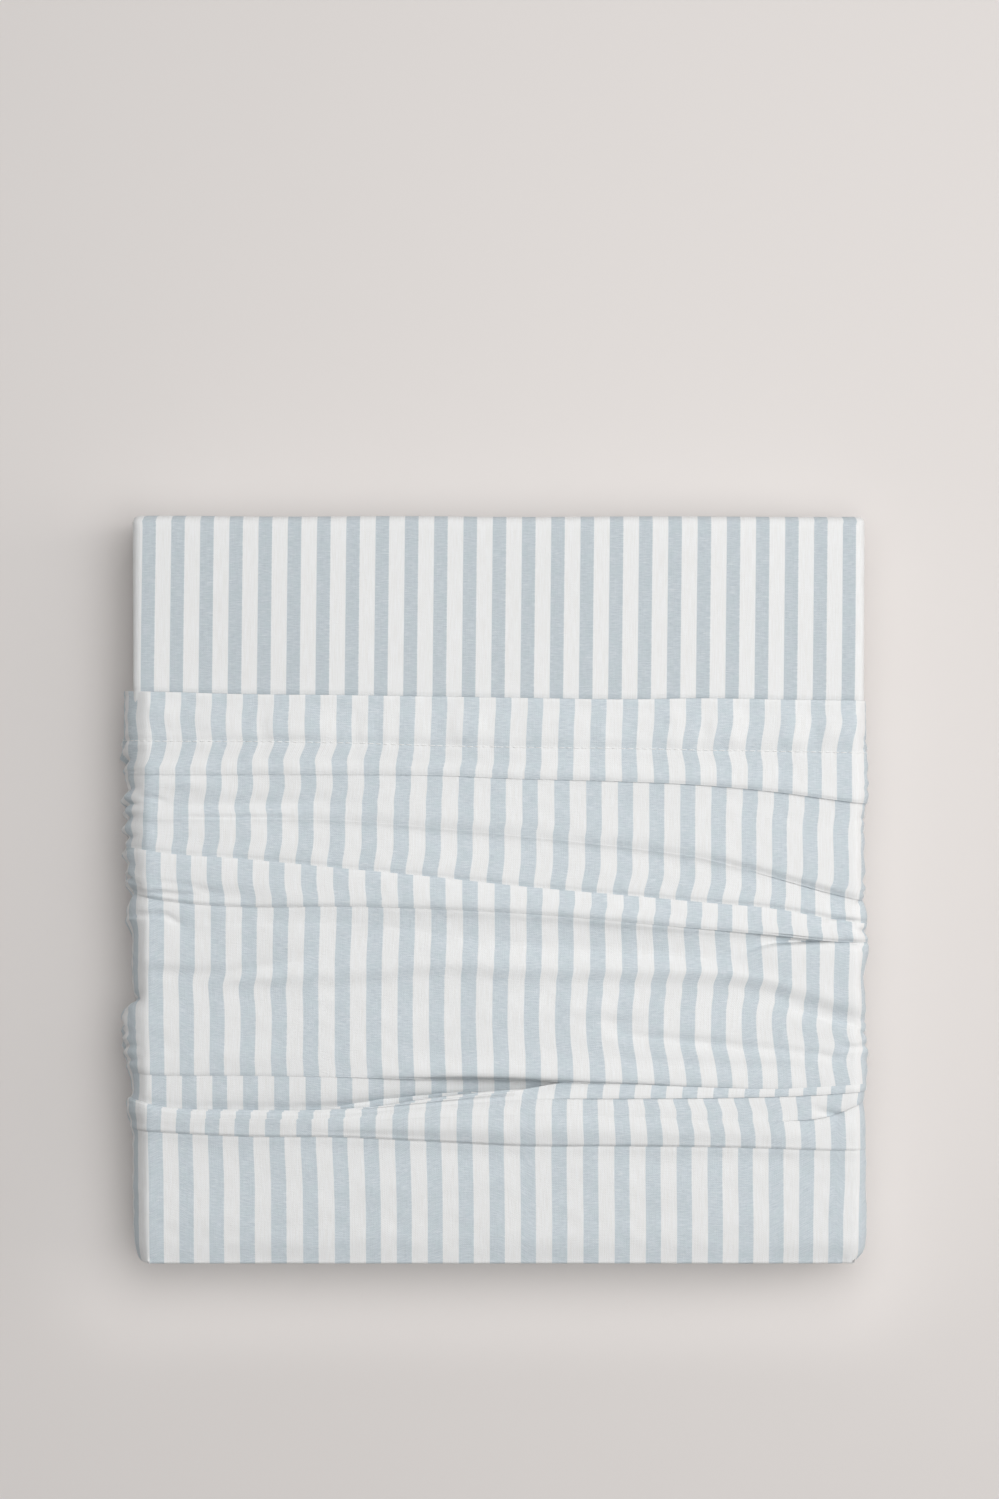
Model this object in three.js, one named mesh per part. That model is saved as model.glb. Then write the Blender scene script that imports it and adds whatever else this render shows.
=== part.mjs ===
// A striped cotton duvet cover, folded into a flat square pack, in a bag of the same cloth that
// has been pushed down over it, so that the bag lies in tucks across the top and the folded
// cover shows at its far end.
// Millimetres, +Z up. The pack lies flat: +Y runs to the bag's mouth, X across the stripes'
// direction, and the origin is under the middle of the footprint.
import * as THREE from "three";

// Driving dimensions of the folded cover
const COVER = {
  halfWidth: 154.2, // across the stripes, where nothing squeezes it
  north: 157.3, // the fold that shows at the bag's mouth
  south: -152.6,
  endInset: 1.5, // of the first pass's free end
  lastEndInset: 0.8, // of the last pass's free end
  plyInset: 2.5, // of a ply's free edge, where the bundle ends
  strips: 6, // passes of the long strip, one on another
  stripGap: 0.55,
  plies: 3, // plies in one strip, each a bundle of the cover's cloth
  plyThickness: 2.0,
  plyGap: 0.25,
};

// Driving dimensions of the bag
const BAG = {
  thickness: 1.2,
  hemThickness: 1.9, // cloth turned in at the mouth
  halfWidth: 151.2, // to the middle of the cloth at the foot of the sides
  clearance: 0.35, // between the cover and the bag
  shoulder: { across: 11, down: 6 }, // the rounded edge along the top
  heel: { across: 8, down: 5 }, // the rounded edge along the bottom
  south: -157.3,
  seamHalfLength: 146,
  endLength: 20, // of the cloth from its last row to the seam
};

// What the bag and its own weight do to the pile
const PILE = {
  bagStart: 80, // y where the bag begins to squeeze, and
  bagFull: 58, // y where it squeezes fully
  squeeze: 6.0, // at each side
  edgeHeight: 6, // of the rounded edges at the top and the bottom
  freeInset: 2.4, // of a rounded edge outside the bag
  baggedInset: 9.5, // of a rounded edge inside it
  northCorner: { start: 153, end: 157.8, inset: 2.6 },
  southCorner: { start: -144, end: -154.6, inset: 5.5 },
};

// Depths of the tucks. A flat ridge or roll has a tuck on both sides, so each takes a share of
// its width, less a gap.
const TUCKS = {
  hem: 5,
  pocket: 6,
  ridge: { share: 0.24, gap: 0.6 },
  roll: { share: 0.22, gap: 0.4 },
};

// Shallow dents that gather the bag's sides
const DENTS = { depth: 0.6, turn: 0.42, lag: 1.3 };

const stripThickness =
  COVER.plies * COVER.plyThickness + (COVER.plies - 1) * COVER.plyGap;
const stripPitch = stripThickness + COVER.stripGap;
const coverHeight = (COVER.strips - 1) * stripPitch + stripThickness;
const coverBottom = BAG.thickness + BAG.clearance;
const bagFloor = BAG.thickness / 2;
const bagTop = coverBottom + coverHeight + BAG.clearance + BAG.thickness / 2;
const seamHeight = (bagFloor + bagTop) / 2;

// Heights of the three layers of a tuck, at the middle of the cloth
const LOW = 0;
const MIDDLE = BAG.thickness + 0.4;
const HIGH = 2 * MIDDLE;

// Lines across the top of the bag, as y at seven places from left to right
const STATIONS = [-150, -100, -50, 0, 50, 100, 150];
const LINES = {
  mouth: [83.2, 82.5, 81.7, 80.9, 80.0, 80.2, 79.4],
  stitching: [63.0, 62.4, 61.3, 60.3, 59.4, 58.4, 57.5],
  hemTuck: [48.9, 48.9, 48.7, 47.3, 45.8, 43.1, 37.0],
  softValley: [31.3, 29.6, 27.9, 24.2, 18.3, 10.3, -3.2],
  ridgeNorth: [17.4, 12.4, 7.6, 2.5, -2.1, -6.5, -14.9],
  ridgeSouth: [-3.2, -6.3, -6.9, -8.2, -12.4, -16.8, -21.6],
  upperSag: [-30, -33, -38, -37, -39, -42, -52],
  lowerSwell: [-56, -56, -58, -58, -60, -63, -68],
  pocketNorth: [-76.2, -77.1, -78.1, -79.4, -81.5, -83.4, -83.6],
  pocketSouth: [-88.0, -92.6, -90.1, -85.1, -82.1, -83.9, -84.1],
  rollSouth: [-100.4, -102.9, -103.5, -106.6, -106.7, -107.4, -108.6],
};

// How far the bag's sides reach from the middle, at the tops of the sides, from mouth to foot
const SIDE_REACH = [
  { y: 84, left: 159.2, right: 156.2 },
  { y: 72, left: 159.2, right: 156.2 },
  { y: 59, left: 159.2, right: 155.5 },
  { y: 52, left: 157.7, right: 155.6 },
  { y: 43, left: 157.7, right: 155.6 },
  { y: 39, left: 159.2, right: 155.6 },
  { y: 34, left: 157.8, right: 154.6 },
  { y: 21, left: 157.7, right: 154.6 },
  { y: 18, left: 158.8, right: 154.4 },
  { y: 12, left: 157.6, right: 154.4 },
  { y: 2, left: 155.8, right: 155.2 },
  { y: -8, left: 158.0, right: 155.6 },
  { y: -16, left: 156.0, right: 156.2 },
  { y: -26, left: 155.5, right: 156.4 },
  { y: -36, left: 155.4, right: 154.0 },
  { y: -44, left: 154.6, right: 154.2 },
  { y: -50, left: 158.8, right: 154.7 },
  { y: -70, left: 158.6, right: 155.6 },
  { y: -78, left: 156.4, right: 154.9 },
  { y: -84, left: 155.6, right: 154.3 },
  { y: -92, left: 157.2, right: 154.6 },
  { y: -104, left: 155.8, right: 154.9 },
  { y: -120, left: 155.3, right: 155.6 },
  { y: -140, left: 155.2, right: 155.5 },
  { y: -157, left: 154.2, right: 154.9 },
];

// The closed end: where each ring of points is, and how far it has shrunk towards the seam
const END_ROWS = [
  { y: -147.5, shrink: 0.0 },
  { y: -152.8, shrink: 0.0 },
  { y: -155.6, shrink: 0.03 },
  { y: -156.8, shrink: 0.12 },
  { y: -157.3, shrink: 0.4 },
  { y: -157.3, shrink: 1.0 },
];

const clamp01 = (t) => Math.min(1, Math.max(0, t));
const ease = (from, to, t) => {
  const s = clamp01((t - from) / (to - from));
  return s * s * (3 - 2 * s);
};
const mix = (a, b, t) => a + (b - a) * t;

// A smooth curve through the values at the stations
function lineAt(name, x) {
  const values = LINES[name];
  const step = STATIONS[1] - STATIONS[0];
  const last = values.length - 1;
  const along = Math.min(last, Math.max(0, (x - STATIONS[0]) / step));
  const i = Math.min(last - 1, Math.floor(along));
  const t = along - i;
  const before = values[Math.max(0, i - 1)];
  const after = values[Math.min(last, i + 2)];
  const [a, b] = [values[i], values[i + 1]];
  const slopeA = (b - before) / 2;
  const slopeB = (after - a) / 2;
  return (
    a * (2 * t ** 3 - 3 * t ** 2 + 1) +
    slopeA * (t ** 3 - 2 * t ** 2 + t) +
    b * (-2 * t ** 3 + 3 * t ** 2) +
    slopeB * (t ** 3 - t ** 2)
  );
}

function reachAt(y, side) {
  const rows = SIDE_REACH;
  if (y >= rows[0].y) return rows[0][side];
  for (let i = 1; i < rows.length; i++)
    if (y >= rows[i].y)
      return mix(rows[i][side], rows[i - 1][side], ease(rows[i].y, rows[i - 1].y, y));
  return rows[rows.length - 1][side];
}

// Closed triangle mesh from rings of points: ring i joins ring i + 1, point j joins point j + 1.
// Points that lie together are one vertex, and triangles that close up are left out.
class Shell {
  constructor() {
    this.index = new Map();
    this.points = [];
    this.triangles = [];
  }
  vertex([x, y, z]) {
    const key = [x, y, z].map((v) => Math.round(v * 1000)).join();
    if (!this.index.has(key)) {
      this.index.set(key, this.points.length / 3);
      this.points.push(x, y, z);
    }
    return this.index.get(key);
  }
  triangle(a, b, c) {
    if (a !== b && b !== c && c !== a) this.triangles.push(a, b, c);
  }
  quad(p, q, r, s) {
    const [a, b, c, d] = [p, q, r, s].map((point) => this.vertex(point));
    this.triangle(a, b, c);
    this.triangle(a, c, d);
  }
  skin(rings, closed, inwards) {
    const around = closed ? rings[0].length : rings[0].length - 1;
    for (let i = 0; i + 1 < rings.length; i++)
      for (let j = 0; j < around; j++) {
        const k = (j + 1) % rings[0].length;
        const corners = [rings[i][j], rings[i + 1][j], rings[i + 1][k], rings[i][k]];
        this.quad(...(inwards ? corners.reverse() : corners));
      }
  }
  cap(ring, flat, reversed) {
    const contour = flat.map(([u, v]) => new THREE.Vector2(u, v));
    for (const face of THREE.ShapeUtils.triangulateShape(contour, [])) {
      const [a, b, c] = (reversed ? face.reverse() : face).map((i) => this.vertex(ring[i]));
      this.triangle(a, b, c);
    }
  }
  geometry() {
    const made = new THREE.BufferGeometry();
    made.setAttribute("position", new THREE.Float32BufferAttribute(this.points, 3));
    made.setIndex(this.triangles);
    made.computeVertexNormals();
    return made;
  }
}

// The section of one strip: plies folded back and forth across X, as an outline of [x, c],
// where c runs through the strip's thickness
function stripOutline() {
  const { plies, plyThickness, plyGap, halfWidth } = COVER;
  const pitch = plyThickness + plyGap;
  const half = plyThickness / 2;
  const level = (ply) => (ply - (plies - 1) / 2) * pitch;
  const foldCentre = halfWidth - pitch / 2 - half;
  const freeEnd = halfWidth - COVER.plyInset;
  const blunt = half * 0.4;
  const easing = half * 0.6;
  const outerSteps = 4;
  const innerSteps = 2;
  const under = [];
  const over = [];
  // The first ply's free end, a little rounded
  under.push([-freeEnd, level(0) - blunt], [-freeEnd + easing, level(0) - half]);
  over.push([-freeEnd, level(0) + blunt], [-freeEnd + easing, level(0) + half]);
  for (let ply = 0; ply + 1 < plies; ply++) {
    const side = ply % 2 ? -1 : 1;
    const middle = (level(ply) + level(ply + 1)) / 2;
    const arc = (radius, steps) =>
      Array.from({ length: steps + 1 }, (_, i) => {
        const angle = -Math.PI / 2 + (Math.PI * i) / steps;
        return [side * (foldCentre + radius * Math.cos(angle)), middle + radius * Math.sin(angle)];
      });
    const outer = arc(pitch / 2 + half, outerSteps);
    const inner = arc(pitch / 2 - half, innerSteps);
    under.push(...(side > 0 ? outer : inner));
    over.push(...(side > 0 ? inner : outer));
  }
  const lastSide = (plies - 1) % 2 ? -1 : 1;
  const top = level(plies - 1);
  const end = lastSide * freeEnd;
  const inset = lastSide * easing;
  under.push([end - inset, top - half], [end, top - blunt]);
  over.push([end - inset, top + half], [end, top + blunt]);
  return [...under, ...over.reverse()];
}

// The way the strip runs in the YZ plane: back and forth, with a half turn at each end.
// across is the direction of the strip's own thickness; sway slides it sideways a little.
function stripWay() {
  const radius = stripPitch / 2;
  const turnSteps = 6;
  const straight = 60;
  const northFolds = [156.2, 156.8, COVER.north];
  const southFolds = [-151.0, -151.7];
  const sways = [0.2, -0.3, 0.2, -0.2, 0.3, 0.0];
  const reach = radius + stripThickness / 2;
  const way = [];
  const middle = (pass) => coverBottom + stripThickness / 2 + pass * stripPitch;
  const add = (y, z, acrossY, acrossZ, sway) => way.push({ y, z, acrossY, acrossZ, sway });
  add(COVER.south + COVER.endInset, middle(0), 0, 1, sways[0]);
  for (let pass = 0; pass + 1 < COVER.strips; pass++) {
    const north = pass % 2 === 0;
    const folds = north ? northFolds : southFolds;
    const edge = folds[Math.floor(pass / 2)];
    const centreY = north ? edge - reach : edge + reach;
    const centreZ = middle(pass) + radius;
    const out = north ? 1 : -1;
    add(out * straight, middle(pass), 0, out, sways[pass]);
    for (let i = 0; i <= turnSteps; i++) {
      const angle = -Math.PI / 2 + (Math.PI * i) / turnSteps;
      const [c, s] = [Math.cos(angle), Math.sin(angle)];
      add(
        centreY + out * radius * c,
        centreZ + radius * s,
        -c,
        -out * s,
        mix(sways[pass], sways[pass + 1], i / turnSteps),
      );
    }
    add(out * straight, middle(pass + 1), 0, -out, sways[pass + 1]);
  }
  const lastPass = COVER.strips - 1;
  const lastY = COVER.south + COVER.lastEndInset;
  add(lastY, middle(lastPass), 0, lastPass % 2 ? -1 : 1, sways[lastPass]);
  return way;
}

// A pile's edges are rounded, and the bag squeezes what is inside it
function pressed([x, y, z]) {
  const { bagStart, bagFull, squeeze, edgeHeight, freeInset, baggedInset } = PILE;
  const inBag = 1 - ease(bagFull, bagStart, y);
  const side = COVER.halfWidth;
  const halfHeight = coverHeight / 2;
  const fromMiddle = Math.abs(z - coverBottom - halfHeight);
  const depth = Math.max(0, fromMiddle - (halfHeight - edgeHeight)) / edgeHeight;
  const roundInset = (t) => 1 - Math.sqrt(Math.max(0, 1 - t ** 2));
  const edgeInset = mix(freeInset, baggedInset, inBag) * roundInset(depth);
  const corner = ({ start, end, inset }) => inset * roundInset(clamp01((y - start) / (end - start)));
  const cornerInset = corner(PILE.northCorner) + corner(PILE.southCorner);
  const scale = (side - squeeze * inBag - edgeInset - cornerInset) / side;
  return [x * scale, y, z];
}

function foldedCover() {
  const outline = stripOutline();
  const rings = stripWay().map(({ y, z, acrossY, acrossZ, sway }) =>
    outline.map(([x, c]) => {
      const [px, py, pz] = pressed([x, y + acrossY * c, z + acrossZ * c]);
      return [px + sway, py, pz];
    }),
  );
  const shell = new Shell();
  shell.skin(rings, true, false);
  shell.cap(rings[0], outline, false);
  shell.cap(rings[rings.length - 1], outline, true);
  return shell.geometry();
}

// A half turn of the cloth in the plane of y and height, between two heights. bulge is 1 where
// it bulges north and -1 where it bulges south.
function halfTurn(y, low, high, bulge, upwards, faceOut, steps) {
  const radius = (high - low) / 2;
  const centre = (high + low) / 2;
  return Array.from({ length: steps + 1 }, (_, i) => {
    const angle = (upwards ? -1 : 1) * (Math.PI / 2 - (Math.PI * i) / steps);
    const [out, up] = [bulge * Math.cos(angle), Math.sin(angle)];
    const face = faceOut ? 1 : -1;
    const h = centre + radius * up;
    return { y: y + out * radius, h, ny: face * out, nh: face * up, tucked: true };
  });
}

const NOSE_STEPS = 3;
const HIDDEN_STEPS = 2;

// The cloth folds under itself and comes out again further south: the north side lies on top
function tuckUnder(edge, depth, high) {
  const radius = (high - MIDDLE) / 2;
  const nose = edge + BAG.thickness / 2 + radius;
  return [
    ...halfTurn(nose, MIDDLE, high, -1, false, true, NOSE_STEPS),
    ...halfTurn(nose + depth, LOW, MIDDLE, 1, false, false, HIDDEN_STEPS),
  ];
}

// The cloth runs under, turns back and comes over itself: the south side lies on top
function tuckOver(edge, depth, high) {
  const radius = (high - MIDDLE) / 2;
  const nose = edge - BAG.thickness / 2 - radius;
  return [
    ...halfTurn(nose - depth, LOW, MIDDLE, -1, true, false, HIDDEN_STEPS),
    ...halfTurn(nose, MIDDLE, high, 1, true, true, NOSE_STEPS),
  ];
}

// The bag's cloth from its mouth to its closed end, at one place across the top.
// Each row has y, a height above the plain ring, and the thickness of the cloth.
function rowsAt(x) {
  const line = (name) => lineAt(name, x);
  const between = (a, b, t) => mix(line(a), line(b), t);
  const tuckBetween = ({ share, gap }, a, b) => share * (line(a) - line(b)) - gap;
  const ridgeTuck = tuckBetween(TUCKS.ridge, "ridgeNorth", "ridgeSouth");
  const rollTuck = tuckBetween(TUCKS.roll, "pocketSouth", "rollSouth");
  const swell = ease(-110, 0, x);
  const plain = (y, h, thickness = BAG.thickness) => ({ y, h, thickness });
  const rows = [
    plain(line("mouth"), 0.5, BAG.hemThickness),
    plain(between("mouth", "stitching", 0.5), 0.9, BAG.hemThickness),
    plain(line("stitching") + 1.0, 0.7, BAG.hemThickness),
    plain(line("stitching") - 0.4, 0.4),
    plain(between("stitching", "hemTuck", 0.4), HIGH - 0.9),
    ...tuckUnder(line("hemTuck"), TUCKS.hem, HIGH),
    plain(line("hemTuck") - 1.5, 0.2),
    plain(between("hemTuck", "softValley", 0.5), 1.7),
    plain(line("softValley"), 0.5),
    plain(between("softValley", "ridgeNorth", 0.5), 1.4),
    plain(line("ridgeNorth") + 1.0, 0.1),
    ...tuckOver(line("ridgeNorth"), ridgeTuck, HIGH),
    plain(between("ridgeNorth", "ridgeSouth", 0.5), HIGH + 0.5),
    ...tuckUnder(line("ridgeSouth"), ridgeTuck, HIGH),
    plain(line("ridgeSouth") - 1.5, 0.2),
    plain(between("ridgeSouth", "upperSag", 0.5), 1.6 + 0.5 * swell),
    plain(line("upperSag"), 0.9),
    plain(line("lowerSwell"), 2.2 + 0.6 * swell),
    plain(between("lowerSwell", "pocketNorth", 0.6), 3.0),
    ...tuckUnder(line("pocketNorth"), TUCKS.pocket, HIGH + 0.6 * swell),
    plain(line("pocketNorth") + 2.5, LOW),
    plain(between("pocketNorth", "pocketSouth", 0.5), LOW),
    ...tuckOver(line("pocketSouth"), rollTuck, HIGH),
    plain(between("pocketSouth", "rollSouth", 0.5), HIGH + 0.7),
    ...tuckUnder(line("rollSouth"), rollTuck, HIGH),
    plain(line("rollSouth") - 1.5, 0.2),
    plain(line("rollSouth") - 18, 0.5),
  ];
  rows.forEach((row, i) => {
    row.thickness ??= BAG.thickness;
    if (row.ny !== undefined) return;
    const [a, b] = [rows[Math.max(0, i - 1)], rows[Math.min(rows.length - 1, i + 1)]];
    const length = Math.hypot(b.y - a.y, b.h - a.h);
    row.ny = (b.h - a.h) / length;
    row.nh = -(b.y - a.y) / length;
  });
  return rows;
}

// How far along the cloth each row is, from 0 at the mouth to 1 at the closed end
function sharesOf(rows) {
  const shares = [0];
  for (let i = 1; i < rows.length; i++)
    shares.push(shares[i - 1] + Math.hypot(rows[i].y - rows[i - 1].y, rows[i].h - rows[i - 1].h));
  const total = shares[shares.length - 1] + BAG.endLength;
  return shares.map((s) => s / total);
}

// The plain ring round the cover, at the middle of the cloth. sink is 0 over the top and its
// rounded edges, 1 at the foot of the side and 2 under the bottom.
function ringColumns() {
  const { halfWidth, shoulder, heel, seamHalfLength } = BAG;
  const topHalf = halfWidth - shoulder.across;
  const topColumns = 14;
  const sideRows = 3;
  const cornerSteps = 3;
  const top = [];
  for (let i = 0; i < topColumns; i++)
    top.push({ x: mix(-topHalf, topHalf, i / topColumns), z: bagTop, nx: 0, nz: 1, sink: 0 });
  const right = [];
  for (let i = 0; i <= cornerSteps; i++) {
    const angle = ((Math.PI / 2) * i) / cornerSteps;
    const [s, c] = [Math.sin(angle), Math.cos(angle)];
    const length = Math.hypot(s / shoulder.across, c / shoulder.down);
    right.push({
      x: topHalf + shoulder.across * s,
      z: bagTop - shoulder.down * (1 - c),
      nx: s / shoulder.across / length,
      nz: c / shoulder.down / length,
      sink: 0,
    });
  }
  const [high, low] = [bagTop - shoulder.down, bagFloor + heel.down];
  for (let i = 1; i <= sideRows; i++)
    right.push({ x: halfWidth, z: mix(high, low, i / sideRows), nx: 1, nz: 0, sink: i / sideRows });
  for (let i = 1; i <= cornerSteps; i++) {
    const angle = ((Math.PI / 2) * i) / cornerSteps;
    const [s, c] = [Math.sin(angle), Math.cos(angle)];
    right.push({
      x: halfWidth - heel.across * (1 - c),
      z: low - heel.down * s,
      nx: c,
      nz: -s,
      sink: 1 + i / cornerSteps,
    });
  }
  const bottom = [];
  for (let i = 1; i < topColumns; i++)
    bottom.push({ x: mix(topHalf, -topHalf, i / topColumns), z: bagFloor, nx: 0, nz: -1, sink: 2 });
  const left = right
    .map(({ x, z, nx, nz, sink }) => ({ x: -x, z, nx: -nx, nz, sink }))
    .reverse();
  // The top's first column is the left shoulder's last, so it is left out of the top
  const ring = [...top.slice(1), ...right, ...bottom, ...left];
  return ring.map((column) => ({
    ...column,
    seamX: Math.abs(column.x) < topHalf - 1 ? column.x : Math.sign(column.x) * seamHalfLength,
  }));
}

// The points of one column of the bag, from the mouth to the seam at the closed end.
// side is 1 for the outer skin and -1 for the inner one.
function columnPoints(column, side) {
  const { x, z, nx, nz, sink, seamX } = column;
  const rows = rowsAt(x);
  const shares = sharesOf(rows);
  const [mouth, last] = [rows[0].y, END_ROWS[0].y];
  const folded = 1 - ease(0.0, 0.6, sink);
  const raised = 1 - ease(0.3, 1.2, sink);
  const flat = ease(1.0, 2.0, sink);
  const bottomRows = 10;
  const which = nx < 0 ? "left" : "right";
  const points = rows.map((row, i) => {
    const spread = mix(mouth, last, shares[i]);
    const level = mix(mouth, last, Math.round(shares[i] * bottomRows) / bottomRows);
    const y = mix(mix(spread, row.y, folded), level, flat);
    const phase = y * DENTS.turn + DENTS.lag * Math.sign(x);
    const dent = DENTS.depth * (1 - Math.cos(phase)) * ease(0, 0.3, sink);
    const layer = row.tucked ? row.h - HIGH : 0;
    const sideways = reachAt(y, which) - BAG.halfWidth - BAG.thickness / 2 + layer - dent;
    const h = mix(row.h, sideways, nx ** 2) * raised;
    const half = (side * mix(row.thickness, BAG.thickness, flat)) / 2;
    const ny = row.ny * folded;
    const nh = mix(1, row.nh, folded);
    const length = Math.hypot(ny, nh);
    const out = h + (half * nh) / length;
    return [x + nx * out, y + (half * ny) / length, z + nz * out];
  });
  const half = (side * BAG.thickness) / 2;
  for (const { y, shrink } of END_ROWS) {
    const inwards = side < 0 ? BAG.thickness * ease(0, 0.3, shrink) : 0;
    const sideways = (reachAt(y, which) - BAG.halfWidth - BAG.thickness / 2) * nx ** 2;
    const out = (half + sideways * raised) * (1 - shrink);
    points.push([
      mix(x, seamX, shrink) + nx * out,
      y + inwards,
      mix(z, seamHeight, shrink) + nz * out,
    ]);
  }
  return points;
}

function bag() {
  const columns = ringColumns();
  const turn = (lists) => lists[0].map((_, i) => lists.map((list) => list[i]));
  const outer = turn(columns.map((column) => columnPoints(column, 1)));
  const inner = turn(columns.map((column) => columnPoints(column, -1)));
  const shell = new Shell();
  shell.skin(outer, true, false);
  shell.skin(inner, true, true);
  shell.skin([inner[0], outer[0]], true, false);
  return shell.geometry();
}

const cloth = (name, colour) =>
  new THREE.MeshStandardMaterial({ name, color: colour, roughness: 0.9, metalness: 0 });

const root = new THREE.Group();
root.name = "folded_duvet_cover_in_bag";
for (const [name, geometry, colour] of [
  ["duvet_cover", foldedCover(), 0xe6e9e9],
  ["cloth_bag", bag(), 0xdfe4e6],
]) {
  const mesh = new THREE.Mesh(geometry, cloth(name, colour));
  mesh.name = name;
  root.add(mesh);
}

// The origin goes under the middle of the footprint, on what the pack lies on
const box = new THREE.Box3().setFromObject(root);
const centre = box.getCenter(new THREE.Vector3());
root.position.set(-centre.x, -centre.y, -box.min.z);

export default root;
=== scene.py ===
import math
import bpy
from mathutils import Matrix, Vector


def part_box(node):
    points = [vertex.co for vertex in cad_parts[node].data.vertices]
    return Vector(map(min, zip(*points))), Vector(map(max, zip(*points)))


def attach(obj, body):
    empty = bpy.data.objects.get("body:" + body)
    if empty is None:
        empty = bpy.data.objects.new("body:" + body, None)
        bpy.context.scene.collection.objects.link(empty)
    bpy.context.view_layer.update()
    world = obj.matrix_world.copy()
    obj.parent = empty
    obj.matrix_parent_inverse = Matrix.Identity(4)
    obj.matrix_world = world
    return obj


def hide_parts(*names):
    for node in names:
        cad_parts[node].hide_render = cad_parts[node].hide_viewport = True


bl_info = {
    "name": "Folded duvet cover in its bag",
    "version": (1, 0, 0),
    "blender": (4, 5, 0),
    "location": "View3D > Sidebar > Bedding",
    "description": "Builds a striped duvet cover, folded square, in a ruched bag of the same cloth",
    "category": "Object",
}

import bpy
import numpy as np

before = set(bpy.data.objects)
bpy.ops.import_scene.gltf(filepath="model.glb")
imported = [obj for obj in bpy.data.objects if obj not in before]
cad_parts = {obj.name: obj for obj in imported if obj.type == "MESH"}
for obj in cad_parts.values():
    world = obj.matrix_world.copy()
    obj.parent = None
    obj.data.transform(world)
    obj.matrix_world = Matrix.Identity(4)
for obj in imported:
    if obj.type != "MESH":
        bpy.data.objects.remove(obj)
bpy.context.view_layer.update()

# Sizes here are in millimetres, and a mesh's own points are turned to metres as it is made
MM = 0.001

cover_low, cover_high = (np.array(corner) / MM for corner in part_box("duvet_cover"))
bag_low, bag_high = (np.array(corner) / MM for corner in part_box("cloth_bag"))
MIDDLE_X = (cover_low[0] + cover_high[0]) / 2
COVER_TOP = cover_high[2]
COVER_NORTH = cover_high[1]
BAG_FOOT = bag_low[1]

# The bag's stripes are the ruler across it: each fold line is placed where it crosses these
# stripes, counted from the left, and sway is how far a stripe stands right of its straight run
FIRST_STRIPE = -146.6
BAG_STRIPE_PITCH = 13.1
STATION_STRIPES = np.array([0.4, 1, 4, 7, 10, 13, 16, 19, 21, 23, 24])

FOLD_LINES = {
    "mouth": (83.4, 83.2, 82.1, 81.7, 81.1, 80.5, 79.9, 80.3, 79.9, 79.5, 79.4),
    "hem_middle": (72.0, 72.0, 71.6, 71.2, 70.8, 70.3, 69.9, 70.3, 70.3, 70.3, 70.3),
    "hem_lower": (65.7, 65.7, 65.3, 65.1, 64.0, 63.6, 63.2, 62.8, 62.8, 62.4, 62.4),
    "stitching": (62.6, 62.4, 62.2, 61.7, 60.5, 59.7, 59.3, 58.5, 58.1, 57.6, 57.3),
    "under_hem": (54.8, 54.8, 54.8, 54.8, 54.0, 53.5, 53.1, 52.3, 51.9, 51.0, 50.6),
    "hem_tuck": (48.5, 48.5, 48.5, 48.5, 48.2, 46.7, 45.7, 43.8, 41.3, 37.8, 36.1),
    "short_fold": (32.5, 32.5, 31.7, 32.5, 34.2, 32.5, 31.3, 28.3, 25.0, 20.8, 18.3),
    "soft_step": (27.5, 27.5, 27.5, 27.5, 25.5, 22.3, 18.1, 12.5, 6.1, -1.1, -4.0),
    "ridge_north": (17.8, 16.3, 12.9, 9.2, 5.5, 1.3, -2.1, -5.6, -8.0, -12.6, -14.5),
    "ridge_south": (-1.5, -3.1, -6.7, -6.5, -7.5, -9.4, -12.7, -16.3, -18.8, -21.4, -21.8),
    "slot": (-12.8, -13.7, -14.9, -14.9, -16.2, -17.8, -20.4, -22.9, -23.1, -22.4, -23.0),
    "hollow": (-33.8, -34.6, -40.1, -40.1, -36.3, -38.2, -38.9, -39.1, -42.2, -49.4, -54.8),
    "swell": (-52.7, -54.0, -54.8, -54.8, -54.8, -54.8, -54.8, -54.8, -55.6, -58.2, -60.7),
    "pucker_north": (-64.5, -65.3, -65.3, -65.3, -65.3, -64.0, -64.0, -65.3, -66.1, -65.3, -65.7),
    "pucker": (-70.8, -70.8, -70.8, -70.8, -70.8, -69.9, -71.2, -72.9, -74.1, -71.6, -70.8),
    "pocket_north": (-76.6, -77.1, -77.5, -78.1, -79.3, -80.1, -81.4, -83.2, -84.1, -83.6, -83.4),
    "pocket_south": (-87.6, -89.9, -92.3, -92.1, -88.4, -83.9, -80.2, -81.7, -82.5, -81.7, -81.3),
    "lap": (-90.1, -92.2, -94.7, -94.3, -90.9, -88.0, -87.7, -87.4, -86.9, -85.7, -84.6),
    "cuff": (-94.7, -96.0, -97.2, -97.2, -95.5, -94.3, -94.7, -96.4, -97.2, -94.2, -88.4),
    "roll_south": (-100.4, -100.8, -102.8, -103.1, -104.9, -106.8, -106.9, -107.3, -107.9, -108.7, -108.6),
}

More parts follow.
